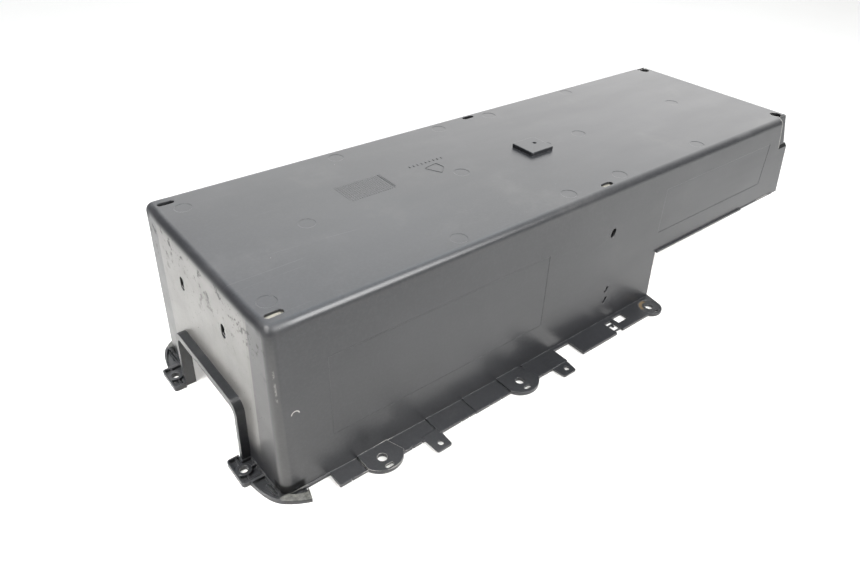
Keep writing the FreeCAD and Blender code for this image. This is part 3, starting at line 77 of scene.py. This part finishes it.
class Graph:
    """Short way to write a material's nodes."""

    def __init__(self, name):
        self.material = bpy.data.materials.new(name)
        self.material.use_nodes = True
        self.tree = self.material.node_tree
        self.shader = self.tree.nodes["Principled BSDF"]

    def node(self, kind):
        return self.tree.nodes.new(kind)

    def wire(self, source, target):
        self.tree.links.new(source, target)

    def place(self, scale=(1.0, 1.0, 1.0)):
        """Position in the object's frame, in metres, stretched by scale."""
        coords = self.node("ShaderNodeTexCoord")
        mapping = self.node("ShaderNodeMapping")
        mapping.inputs["Scale"].default_value = scale
        self.wire(coords.outputs["Object"], mapping.inputs["Vector"])
        return mapping.outputs["Vector"]

    def noise(self, scale, detail=3.0, rough=0.55, stretch=(1.0, 1.0, 1.0)):
        n = self.node("ShaderNodeTexNoise")
        n.inputs["Scale"].default_value = scale
        n.inputs["Detail"].default_value = detail
        n.inputs["Roughness"].default_value = rough
        self.wire(self.place(stretch), n.inputs["Vector"])
        return n.outputs["Fac"]

    def cells(self, scale):
        """Distance from the middle of the nearest random cell."""
        n = self.node("ShaderNodeTexVoronoi")
        n.inputs["Scale"].default_value = scale
        self.wire(self.place(), n.inputs["Vector"])
        return n.outputs["Distance"]

    def ramp(self, source, low, high, from_value=0.0, to_value=1.0):
        """Map source from low..high to from_value..to_value, held at both ends."""
        n = self.node("ShaderNodeMapRange")
        n.interpolation_type = "SMOOTHSTEP"
        limits = (("From Min", low), ("From Max", high), ("To Min", from_value), ("To Max", to_value))
        for key, value in limits:
            n.inputs[key].default_value = value
        self.wire(source, n.inputs["Value"])
        return n.outputs["Result"]

    def maths(self, operation, a, b=0.0):
        n = self.node("ShaderNodeMath")
        n.operation = operation
        for i, value in enumerate((a, b)):
            if isinstance(value, (int, float)):
                n.inputs[i].default_value = value
            else:
                self.wire(value, n.inputs[i])
        return n.outputs[0]

    def times(self, *factors):
        out = factors[0]
        for f in factors[1:]:
            out = self.maths("MULTIPLY", out, f)
        return out

    def mix(self, factor, a, b):
        """Colour mix. The factor is a socket, and each of a and b is a colour or a socket."""
        n = self.node("ShaderNodeMix")
        n.data_type = "RGBA"
        self.wire(factor, n.inputs[0])
        for socket, value in ((n.inputs[6], a), (n.inputs[7], b)):
            if isinstance(value, tuple):
                socket.default_value = (*value, 1.0)
            else:
                self.wire(value, socket)
        return n.outputs[2]

    def blend(self, factor, a, b):
        """Number mix."""
        n = self.node("ShaderNodeMix")
        n.data_type = "FLOAT"
        for socket, value in ((n.inputs[0], factor), (n.inputs[2], a), (n.inputs[3], b)):
            if isinstance(value, (int, float)):
                socket.default_value = value
            else:
                self.wire(value, socket)
        return n.outputs[0]

    def bump(self, height, distance, strength, below):
        """Normal below, tilted by the slopes of height."""
        n = self.node("ShaderNodeBump")
        n.inputs["Strength"].default_value = strength
        n.inputs["Distance"].default_value = distance
        self.wire(height, n.inputs["Height"])
        self.wire(below, n.inputs["Normal"])
        return n.outputs["Normal"]

    def axis(self, letter):
        """One coordinate of the position."""
        split = self.node("ShaderNodeSeparateXYZ")
        self.wire(self.place(), split.inputs[0])
        return split.outputs[letter]

    def from_middle(self, low, high):
        """0 below low and 1 above high, in distance from the case's middle plane."""
        return self.ramp(self.maths("ABSOLUTE", self.axis("Y")), low, high)

    def facing(self, letter):
        """One component of the surface normal."""
        geometry = self.node("ShaderNodeNewGeometry")
        split = self.node("ShaderNodeSeparateXYZ")
        self.wire(geometry.outputs["Normal"], split.inputs[0])
        return split.outputs[letter]

    def inside(self, letter, low, high, soft):
        """1 between low and high along one axis, fading out over soft."""
        value = self.axis(letter)
        up = self.ramp(value, low - soft, low)
        fall = self.ramp(value, high, high + soft, 1.0, 0.0)
        return self.times(up, fall)

    def edges(self, radius):
        """Rounded normal for sharp edges, and how strongly a point lies on one."""
        bevel = self.node("ShaderNodeBevel")
        bevel.samples = 6
        bevel.inputs["Radius"].default_value = radius
        geometry = self.node("ShaderNodeNewGeometry")
        dot = self.node("ShaderNodeVectorMath")
        dot.operation = "DOT_PRODUCT"
        self.wire(bevel.outputs["Normal"], dot.inputs[0])
        self.wire(geometry.outputs["Normal"], dot.inputs[1])
        amount = self.ramp(dot.outputs["Value"], 0.98, 0.80)
        return bevel.outputs["Normal"], amount

    def done(self, colour, rough=None, normal=None):
        for socket, value in (("Base Color", colour), ("Roughness", rough), ("Normal", normal)):
            if value is not None:
                self.wire(value, self.shader.inputs[socket])
        return self.material


# ---- the case's black plastic ----

# dust colour, also used for a painted highlight along the rear pocket creases
DUST_AND_HIGHLIGHT = (0.40, 0.385, 0.36)
# near-black grime, also used as painted shade in pockets and on ledges
GRIME_AND_SHADE = (0.006, 0.006, 0.006)
RUBBED = (0.17, 0.17, 0.172)
# lighter colour painted on the front wall as glare
PAINTED_GLARE = (0.150, 0.146, 0.138)
RUSTY = (0.20, 0.14, 0.07)
LIGHT_FLAT_GREY = (0.13, 0.13, 0.12)
PLASTIC_DARK = (0.0115, 0.012, 0.0135)
PLASTIC_LIGHT = (0.0185, 0.019, 0.021)
PLASTIC_MOTTLE = (0.027, 0.0275, 0.030)
CASE_EDGE = 0.0013
CASE_GLOSS = 0.32
MATT_GLOSS = 0.46
DIRTY_ROUGH = 0.55
WORN_ROUGH = 0.50

# places on the case, in metres
FRONT_WALL_X = (-0.4465, -0.4405)
# sideways limits of the painted glare on the front wall
GLARE_Y = (-0.1040, 0.1005)
REAR_BOLT = (0.1284, -0.1642, 0.0078)
WASHER_RADII = (0.0095, 0.0150)
CHIP = (-0.4210, -0.1425, 0.1065)
CHIP_RADII = (0.0034, 0.0050)
POCKET_LEAN = 0.279            # of the rear pockets' front edge, backwards per downwards
POCKET_EDGE_X = 0.4745         # where that edge would meet the floor
SKIRT_FLAT_X = (-0.447, -0.417)
REAR_END_X = (0.408, 0.470)
FRONT_PAD_X = (-0.362, -0.308)


def front_wall_glare_and_grime(g, colour, rough):
    """Painted glare, a lighter colour standing in for a reflection, over the middle of the front wall, with
    grime along its top.
    """
    faces_front = g.ramp(g.facing("X"), -0.97, -0.90, 1.0, 0.0)
    front = g.times(g.inside("X", *FRONT_WALL_X, 0.001), faces_front)
    level = g.times(g.ramp(g.axis("Z"), 0.020, 0.060), g.ramp(g.axis("Z"), 0.196, 0.209, 1.0, 0.0))
    # painted glare: this area of the front wall is made lighter to stand in for a reflection
    film = g.times(front, level, g.inside("Y", *GLARE_Y, 0.0015))
    patchy = g.ramp(g.noise(30.0, 4.0, 0.6), 0.25, 0.6, 0.72, 1.0)
    colour = g.mix(g.times(film, patchy, 0.70), colour, PAINTED_GLARE)
    high = g.ramp(g.axis("Z"), 0.125, 0.205)
    blotch = g.ramp(g.noise(80.0, 6.0, 0.7), 0.55, 0.63)
    specks = g.ramp(g.noise(300.0, 2.0, 0.5), 0.68, 0.74)
    clusters = g.ramp(g.noise(16.0, 2.0), 0.45, 0.6)
    dirt = g.maths("MAXIMUM", g.times(blotch, high), g.times(specks, clusters))
    colour = g.mix(g.times(dirt, front, level, 0.9), colour, GRIME_AND_SHADE)
    return colour, g.blend(g.times(dirt, front), rough, DIRTY_ROUGH)


def tape_marks(g, rough):
    """Slightly rougher patches on the long walls, as left by tape."""
    wall = g.from_middle(0.1440, 0.1455)
    tape = g.ramp(g.noise(7.0, 0.0, 0.0, (2.2, 0.0, 0.9)), 0.52, 0.53)
    return g.maths("ADD", rough, g.times(wall, tape, 0.035))


def prints(g, colour):
    """Brownish washer print at the rear bolt hole, and a light chip low on the long wall."""
    ring = ring_mark(g, REAR_BOLT, *WASHER_RADII)
    side = g.times(g.ramp(g.axis("Y"), -0.1660, -0.1600), g.ramp(g.axis("X"), 0.1290, 0.1350, 1.0, 0.0))
    colour = g.mix(g.times(ring, side, 0.5), colour, RUSTY)
    upper_half = g.ramp(g.axis("Z"), 0.106, 0.108)
    chip = g.times(ring_mark(g, CHIP, *CHIP_RADII), upper_half)
    return g.mix(g.times(chip, 0.7), colour, DUST_AND_HIGHLIGHT)


def corner_dust(g, colour):
    """Dust and a thin light line on the upright front corners."""
    outside = g.from_middle(0.1350, 0.1380)
    dusty = g.times(g.inside("X", -0.4450, -0.4350, 0.0030), g.inside("Z", 0.030, 0.180, 0.030), outside)
    colour = g.mix(g.times(dusty, 0.045), colour, DUST_AND_HIGHLIGHT)
    line = g.times(g.inside("X", -0.4372, -0.4364, 0.0008), g.inside("Z", 0.135, 0.160, 0.012), outside)
    return g.mix(g.times(line, g.ramp(g.noise(260.0, 4.0), 0.42, 0.60), 0.25), colour, DUST_AND_HIGHLIGHT)


def pocket_crease_highlight(g, colour):
    """Painted highlight, partly rubbed wear: a light line down the slanting front edge of the pockets at the
    rear corners, where the crease catches light.
    """
    along = g.maths("ADD", g.axis("X"), g.maths("MULTIPLY", g.axis("Z"), POCKET_LEAN))
    off = g.maths("ABSOLUTE", g.maths("SUBTRACT", along, POCKET_EDGE_X))
    crease = g.ramp(off, 0.0008, 0.0022, 1.0, 0.0)
    crease = g.times(crease, g.inside("Z", 0.166, 0.212, 0.001), g.from_middle(0.1260, 0.1280))
    return g.mix(g.times(crease, g.ramp(g.noise(120.0, 3.0), 0.30, 0.45), 0.35), colour, DUST_AND_HIGHLIGHT)


def grime_and_painted_shade(g, colour, rough):
    """Grime and painted shade in the pocket at the foot of the front corners, and painted shade on the ledges
    of the rear pockets.
    """
    # grime and painted shade in the pocket at the foot of the front corners
    foot = g.times(g.inside("X", -0.444, -0.422, 0.006), g.inside("Z", 0.0072, 0.0140, 0.006))
    foot = g.times(foot, g.ramp(g.noise(60.0, 3.0), 0.30, 0.50, 0.5, 1.0))
    foot = g.times(foot, g.from_middle(0.1250, 0.1300))
    # painted shade on the ledges of the rear pockets
    ledge = g.times(g.inside("X", 0.420, 0.470, 0.002), g.inside("Z", 0.1530, 0.1675, 0.0008),
                    g.ramp(g.facing("Z"), 0.30, 0.40))
    black = g.maths("MAXIMUM", foot, ledge)
    colour = g.mix(g.times(black, 0.85), colour, GRIME_AND_SHADE)
    # the painted shade also dulls the reflection there
    g.wire(g.ramp(black, 0.0, 1.0, 0.50, 0.08), g.shader.inputs["Specular IOR Level"])
    return colour, g.blend(black, rough, WORN_ROUGH)


def rubbed_roof_edge(g, rough):
    """The roof's long edges are rubbed duller, most of all at the front corners."""
    edge = g.times(g.ramp(g.axis("Z"), 0.2030, 0.2060), g.from_middle(0.1330, 0.1350))
    corner = g.times(g.ramp(g.axis("Z"), 0.1980, 0.2040), g.from_middle(0.1180, 0.1260),
                     g.ramp(g.axis("X"), -0.4300, -0.4050, 1.0, 0.0))
    rough = g.maths("ADD", rough, g.times(edge, 0.045))
    return g.maths("ADD", rough, g.times(corner, 0.16))


def lighter_skirt_flats(g, colour):
    """Lighter, patchy grey on the flat at the end of each corner skirt."""
    beside = g.times(g.inside("X", *SKIRT_FLAT_X, 0.0015), g.from_middle(0.1425, 0.1440))
    flat = g.times(beside, g.ramp(g.axis("Z"), 0.0050, 0.0056), g.ramp(g.axis("Z"), 0.0062, 0.0066, 1.0, 0.0))
    patchy = g.ramp(g.noise(260.0, 4.0, 0.7), 0.3, 0.7, 0.3, 0.8)
    return g.mix(g.times(flat, patchy), colour, LIGHT_FLAT_GREY)


def settled_dust(g, colour):
    """Single specks and a thin film, more of both on faces that look up."""
    speck = g.ramp(g.cells(85.0), 0.03, 0.06, 1.0, 0.0)
    chosen = g.ramp(g.noise(140.0, 1.0), 0.66, 0.70)
    up = g.ramp(g.facing("Z"), 0.2, 0.9, 0.35, 1.0)
    colour = g.mix(g.times(speck, chosen, up, 0.6), colour, DUST_AND_HIGHLIGHT)
    film = g.times(g.ramp(g.noise(9.0, 6.0, 0.7), 0.50, 0.8), up, 0.05)
    return g.mix(film, colour, DUST_AND_HIGHLIGHT)


def handled_edges(g, colour, on_edge):
    """Edges at the rear end and on the first bolt pad, worn light by handling."""
    rear = g.inside("X", *REAR_END_X, 0.002)
    pad = g.times(g.inside("X", *FRONT_PAD_X, 0.002), g.ramp(g.axis("Z"), 0.008, 0.010, 1.0, 0.0))
    handled = g.times(on_edge, g.maths("MAXIMUM", rear, pad), g.ramp(g.noise(60.0, 3.0), 0.35, 0.5))
    return g.mix(g.times(handled, 0.8), colour, DUST_AND_HIGHLIGHT)


def case_plastic(name, gloss, marked):
    """Black polypropylene, matt and slightly wavy, with the dirt and wear of a used case, and with painted
    glare, highlight and shade.
    """
    g = Graph(name)
    rounded, on_edge = g.edges(CASE_EDGE)
    cloud = g.noise(6.0, 5.0, 0.55, (0.6, 1.0, 1.0))
    smear = g.noise(24.0, 4.0, 0.55, (0.2, 1.0, 1.6))
    mottle = g.noise(330.0, 4.0, 0.7)
    grain = g.noise(1500.0, 2.0, 0.6)
    waves = g.noise(22.0, 2.0, 0.4, (0.7, 1.0, 1.0))
    colour = g.mix(g.ramp(cloud, 0.3, 0.7), PLASTIC_DARK, PLASTIC_LIGHT)
    colour = g.mix(g.ramp(mottle, 0.4, 0.7, 0.0, 0.5), colour, PLASTIC_MOTTLE)
    rough = g.ramp(smear, 0.3, 0.7, gloss - 0.012, gloss + 0.025)
    rough = g.maths("ADD", rough, g.ramp(mottle, 0.35, 0.65, -0.010, 0.014))
    if marked:
        # painted glare over the middle of the front wall, plus real grime along its top
        colour, rough = front_wall_glare_and_grime(g, colour, rough)
        rough = tape_marks(g, rough)
        colour = prints(g, colour)
        colour = corner_dust(g, colour)
        # painted highlight, partly wear, along the rear pocket creases
        colour = pocket_crease_highlight(g, colour)
        # grime and painted shade at the corner feet and on the pocket ledges
        colour, rough = grime_and_painted_shade(g, colour, rough)
        rough = rubbed_roof_edge(g, rough)
        colour = lighter_skirt_flats(g, colour)
    colour = settled_dust(g, colour)
    # hairline scratches, most of them on the roof
    hair = g.times(scratches(g, (1.1, 24.0, 24.0), 21.0), g.ramp(g.facing("Z"), 0.3, 0.9, 0.25, 1.0))
    colour = g.mix(g.times(hair, 0.12), colour, RUBBED)
    # rubbed edges
    rub = g.times(on_edge, g.ramp(g.noise(140.0, 4.0, 0.65), 0.42, 0.68))
    colour = g.mix(g.times(rub, 0.45), colour, RUBBED)
    if marked:
        colour = handled_edges(g, colour, on_edge)
    rough = g.blend(rub, rough, WORN_ROUGH)
    normal = g.bump(waves, 0.0007, 0.35, rounded)
    normal = g.bump(mottle, 0.00001, 0.3, normal)
    normal = g.bump(grain, 0.00002, 0.25, normal)
    return g.done(colour, rough, normal)


def scratches(g, stretch, angle):
    """Long thin lines, where a drawn-out noise passes through its middle value."""
    n = g.node("ShaderNodeTexNoise")
    n.inputs["Scale"].default_value = 1.0
    n.inputs["Detail"].default_value = 0.0
    mapping = g.node("ShaderNodeMapping")
    mapping.inputs["Rotation"].default_value = (0.0, 0.0, math.radians(angle))
    mapping.inputs["Scale"].default_value = stretch
    g.wire(g.place(), mapping.inputs["Vector"])
    g.wire(mapping.outputs["Vector"], n.inputs["Vector"])
    off = g.maths("ABSOLUTE", g.maths("SUBTRACT", n.outputs["Fac"], 0.5))
    line = g.ramp(off, 0.0010, 0.0035, 1.0, 0.0)
    return g.times(line, g.ramp(g.noise(11.0, 1.0, 0.5), 0.58, 0.66))


def ring_mark(g, centre, inner, outer):
    """Broken ring round a point of the case."""
    away = g.node("ShaderNodeVectorMath")
    away.operation = "DISTANCE"
    away.inputs[1].default_value = centre
    g.wire(g.place(), away.inputs[0])
    soft = 0.25 * (outer - inner)
    band = g.times(g.ramp(away.outputs["Value"], inner, inner + soft),
                   g.ramp(away.outputs["Value"], outer - soft, outer, 1.0, 0.0))
    return g.times(band, g.ramp(g.noise(70.0, 3.0), 0.38, 0.5))


# ---- plain finishes for the parts inside ----

INNER_EDGE = 0.0003


def finish(name, colour, rough, metal=0.0, grain=900.0, grain_depth=0.00003, stretch=(1.0, 1.0, 1.0),
           spread=0.15):
    """Base colour with cloudy variation, grain and worn edges."""
    g = Graph(name)
    rounded, on_edge = g.edges(INNER_EDGE)
    cloud = g.noise(18.0, 4.0)
    fine = g.noise(grain, 3.0, 0.6, stretch)
    low = tuple(c * (1.0 - spread) for c in colour)
    high = tuple(min(1.0, c * (1.0 + spread)) for c in colour)
    tone = g.mix(g.ramp(cloud, 0.3, 0.7), low, high)
    wear = g.times(on_edge, g.ramp(g.noise(220.0, 2.0), 0.4, 0.7))
    tone = g.mix(g.times(wear, 0.5), tone, tuple(min(1.0, c * 1.5 + 0.04) for c in colour))
    roughness = g.ramp(fine, 0.3, 0.7, max(0.05, rough - 0.08), rough + 0.08)
    g.shader.inputs["Metallic"].default_value = metal
    return g.done(tone, roughness, g.bump(fine, grain_depth, 0.5, rounded))


BRUSHED_X = (0.03, 1.0, 1.0)
materials = {
    "case_plastic": case_plastic("case_plastic", CASE_GLOSS, True),
    "felt": finish("felt", (0.22, 0.21, 0.18), 0.95, grain=600.0, grain_depth=0.0006, spread=0.2),
    "sheet_aluminium": finish("sheet_aluminium", (0.72, 0.73, 0.74), 0.32, 1.0, 500.0, stretch=BRUSHED_X),
    "gasket_rubber": finish("gasket_rubber", (0.02, 0.02, 0.02), 0.75),
    "zinc_steel": finish("zinc_steel", (0.62, 0.63, 0.60), 0.30, 1.0),
    "bulkhead_plastic": finish("bulkhead_plastic", (0.04, 0.04, 0.043), 0.45),
    "socket_plastic": finish("socket_plastic", (0.03, 0.03, 0.033), 0.38),
    "mat_foam": finish("mat_foam", (0.30, 0.31, 0.33), 0.9, grain=700.0, grain_depth=0.0003),
    "copper": finish("copper", (0.75, 0.40, 0.26), 0.28, 1.0, 500.0, stretch=BRUSHED_X),
    "cell_can": finish("cell_can", (0.10, 0.22, 0.42), 0.35),
    "spacer_film": finish("spacer_film", (0.75, 0.76, 0.74), 0.6),
    "strap_steel": finish("strap_steel", (0.60, 0.60, 0.60), 0.30, 1.0, 500.0, stretch=BRUSHED_X),
    "tray_plastic": finish("tray_plastic", (0.70, 0.26, 0.04), 0.5),
    "busbar_metal": finish("busbar_metal", (0.78, 0.78, 0.76), 0.25, 1.0),
    "circuit_board": finish("circuit_board", (0.02, 0.14, 0.06), 0.35),
    "clear_cover": finish("clear_cover", (0.55, 0.58, 0.60), 0.15),
    "brass_standoff": finish("brass_standoff", (0.75, 0.56, 0.26), 0.28, 1.0),
    "relay_plastic": finish("relay_plastic", (0.04, 0.04, 0.045), 0.4),
    "resistor_metal": finish("resistor_metal", (0.62, 0.46, 0.18), 0.35, 1.0),
    "fuse_ceramic": finish("fuse_ceramic", (0.82, 0.80, 0.74), 0.25),
    "wire_sleeve": finish("wire_sleeve", (0.03, 0.03, 0.035), 0.8, grain=1200.0, grain_depth=0.0002),
}
for part in frame["record"]["subparts"]:
    node = frame["nodes"][part["node"]]
    node.data.materials.clear()
    node.data.materials.append(materials[part["material_slot"]])


# ---- raised marks on the roof, with no writing in them ----

ROOF_Z = 0.213
MARK_SINK = 0.0002
matt = case_plastic("case_plastic_matt", MATT_GLOSS, False)


def ride_root(piece):
    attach(piece, "root")


def mesh_piece(name, bm, material):
    mesh = bpy.data.meshes.new(name)
    bm.normal_update()
    bm.to_mesh(mesh)
    bm.free()
    obj = link(bpy.data.objects.new(name, mesh))
    mesh.materials.append(material)
    return obj


def add_bar(bm, start, end, width, height):
    """Low bar on the roof from start to end, narrower at the top."""
    a, b = Vector((*start, 0.0)), Vector((*end, 0.0))
    course = (b - a).normalized()
    side = course.cross(Vector((0, 0, 1))) * width / 2
    low, high = ROOF_Z - MARK_SINK, ROOF_Z + height
    ring = [a + side, b + side, b - side, a - side]
    middle = (a + b) / 2
    bottom = [bm.verts.new((p.x, p.y, low)) for p in ring]
    inset = 0.25 * width
    top = []
    for p in ring:
        along = (middle - p).normalized() * inset
        across = (middle - p) - (middle - p).dot(course) * course
        q = p + across.normalized() * inset + along * 0.3
        top.append(bm.verts.new((q.x, q.y, high)))
    bm.faces.new(top)
    bm.faces.new(list(reversed(bottom)))
    for i in range(4):
        j = (i + 1) % 4
        bm.faces.new((bottom[i], bottom[j], top[j], top[i]))


def table_of_lines():
    """Block of thin lines."""
    count = 20
    first_x, last_x = -0.253, -0.193
    start_y, end_y = 0.0145, 0.0485
    bm = bmesh.new()
    for i in range(count):
        x = first_x + (last_x - first_x) * i / (count - 1)
        add_bar(bm, (x, start_y), (x, end_y), 0.0008, 0.00016)
    return mesh_piece("roof_line_table", bm, materials["case_plastic"])


def table_strokes():
    """Rows of short strokes along two sides of the block of lines."""
    side_pitch, end_pitch = 0.0030, 0.0032
    bm = bmesh.new()
    for i in range(12):
        y = 0.0150 + side_pitch * i
        add_bar(bm, (-0.1925, y - 0.0009), (-0.1890, y + 0.0004), 0.0016, 0.00040)
    for i in range(19):
        x = -0.2510 + end_pitch * i
        add_bar(bm, (x, 0.0104), (x + 0.0007, 0.0128), 0.0013, 0.00030)
    return mesh_piece("roof_line_strokes", bm, matt)


def dash_row():
    """Row of short dashes beside the triangle."""
    pitch = 0.0062
    bm = bmesh.new()
    for i in range(9):
        x = -0.1470 + pitch * i
        add_bar(bm, (x, 0.0418), (x + 0.0006, 0.0452), 0.0026, 0.00045)
    return mesh_piece("roof_dash_row", bm, matt)


def triangle_mark():
    """Closed outline of a triangle with one corner cut off and all corners rounded."""
    corners = [Vector((-0.1335, 0.0310)), Vector((-0.1130, 0.0350)),
               Vector((-0.1105, 0.0215)), Vector((-0.1226, 0.0100))]
    reach = 0.0022         # from each corner to where its rounding starts
    steps = 4
    too_short = 1e-5
    points = []
    for i, corner in enumerate(corners):
        before = corners[i - 1]
        after = corners[(i + 1) % len(corners)]
        enter = corner + (before - corner).normalized() * reach
        leave = corner + (after - corner).normalized() * reach
        for k in range(steps + 1):
            t = k / steps
            points.append(enter * (1 - t) ** 2 + corner * 2 * t * (1 - t) + leave * t ** 2)
    bm = bmesh.new()
    for i, p in enumerate(points):
        q = points[(i + 1) % len(points)]
        if (q - p).length > too_short:
            add_bar(bm, p, q, 0.0010, 0.00040)
    return mesh_piece("roof_triangle_mark", bm, matt)


for mark in (table_of_lines(), table_strokes(), dash_row(), triangle_mark()):
    ride_root(mark)


# ---- soft pieces, with an uneven fibrous or foamed face ----

DIPS_PER_METRE = 90.0


def soft_piece(node_name, slot, pitch, depth):
    """Finely divided copy of a soft solid whose faces dip unevenly inwards."""
    bm = bmesh.new()
    bm.from_mesh(frame["nodes"][node_name].data)
    low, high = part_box(node_name)
    for axis in (0, 1):
        normal = Vector((1.0, 0.0, 0.0)) if axis == 0 else Vector((0.0, 1.0, 0.0))
        steps = int((high[axis] - low[axis]) / pitch)
        for i in range(1, steps):
            at = normal * (low[axis] + (high[axis] - low[axis]) * i / steps)
            everything = bm.verts[:] + bm.edges[:] + bm.faces[:]
            bmesh.ops.bisect_plane(bm, geom=everything, plane_co=at, plane_no=normal)
    middle = (low[2] + high[2]) / 2
    for v in bm.verts:
        dip = depth * (0.5 + 0.5 * noise.noise(v.co * DIPS_PER_METRE))
        v.co.z += dip if v.co.z < middle else -dip
    piece = mesh_piece(node_name + "_soft", bm, materials[slot])
    ride_root(piece)
    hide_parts(node_name)


soft_piece("roof_felt", "felt", 0.012, 0.0006)
soft_piece("module_mats", "mat_foam", 0.010, 0.0004)


# ---- floor, light and backdrop ----

FLOOR_HALF = 9.0
FLOOR_GLOW = 0.44
WARM_WHITE = (1.0, 0.985, 0.96)


def floor_material():
    g = Graph("floor_white")
    tone = g.mix(g.ramp(g.noise(3.0, 3.0), 0.3, 0.7), (0.50, 0.495, 0.485), (0.52, 0.515, 0.505))
    g.shader.inputs["Roughness"].default_value = 0.8
    g.shader.inputs["Specular IOR Level"].default_value = 0.2
    g.shader.inputs["Emission Color"].default_value = (*WARM_WHITE, 1.0)
    g.shader.inputs["Emission Strength"].default_value = FLOOR_GLOW
    return g.done(tone)


floor_mesh = bpy.data.meshes.new("floor")
corners = [(-FLOOR_HALF, -FLOOR_HALF, 0.0), (FLOOR_HALF, -FLOOR_HALF, 0.0), (FLOOR_HALF, FLOOR_HALF, 0.0),
           (-FLOOR_HALF, FLOOR_HALF, 0.0)]
floor_mesh.from_pydata(corners, [], [(0, 1, 2, 3)])
floor = link(bpy.data.objects.new("floor", floor_mesh))
floor.data.materials.append(floor_material())


def softbox(name, at, aim, wide, tall, radiance, colour=(1.0, 1.0, 1.0)):
    """Area light given by the brightness of its face."""
    data = bpy.data.lights.new(name, "AREA")
    data.shape = "RECTANGLE"
    data.size = wide
    data.size_y = tall
    data.energy = radiance * math.pi * wide * tall
    data.color = colour
    lamp = link(bpy.data.objects.new(name, data))
    lamp.location = at
    lamp.rotation_euler = (Vector(aim) - Vector(at)).to_track_quat("-Z", "Y").to_euler()
    return lamp


POOL_SPREAD = 50.0         # degrees
softbox("overhead", (0.3, 0.7, 2.4), (0.1, 0.1, 0.0), 3.0, 2.2, 2.3, (0.82, 0.915, 1.0))
softbox("near_side", (0.20, -1.05, 1.15), (-0.2, -0.15, 0.2), 0.7, 1.0, 21.0)
softbox("by_camera", (-1.7, -0.5, 1.2), (-0.4, -0.15, 0.0), 0.6, 0.6, 20.0)
pool = softbox("front_left", (-0.95, 0.10, 1.2), (-0.52, 0.06, 0.0), 0.35, 0.35, 6.6, WARM_WHITE)
pool.data.spread = math.radians(POOL_SPREAD)

# the backdrop is bright in one direction and nearly dark in the others
BRIGHT_TOWARDS = (0.80, 0.58, 0.15)
world = bpy.data.worlds.new("studio")
world.use_nodes = True
sky = world.node_tree
background = sky.nodes["Background"]
coords = sky.nodes.new("ShaderNodeTexCoord")
direction = sky.nodes.new("ShaderNodeVectorMath")
direction.operation = "DOT_PRODUCT"
direction.inputs[1].default_value = BRIGHT_TOWARDS
shade = sky.nodes.new("ShaderNodeMapRange")
shade.interpolation_type = "SMOOTHSTEP"
for key, value in (("From Min", 0.45), ("From Max", 0.85), ("To Min", 0.04), ("To Max", 2.6)):
    shade.inputs[key].default_value = value
sky.links.new(coords.outputs["Generated"], direction.inputs[0])
sky.links.new(direction.outputs["Value"], shade.inputs["Value"])
sky.links.new(shade.outputs["Result"], background.inputs["Strength"])
background.inputs["Color"].default_value = (1.0, 0.995, 0.99, 1.0)
scene.world = world
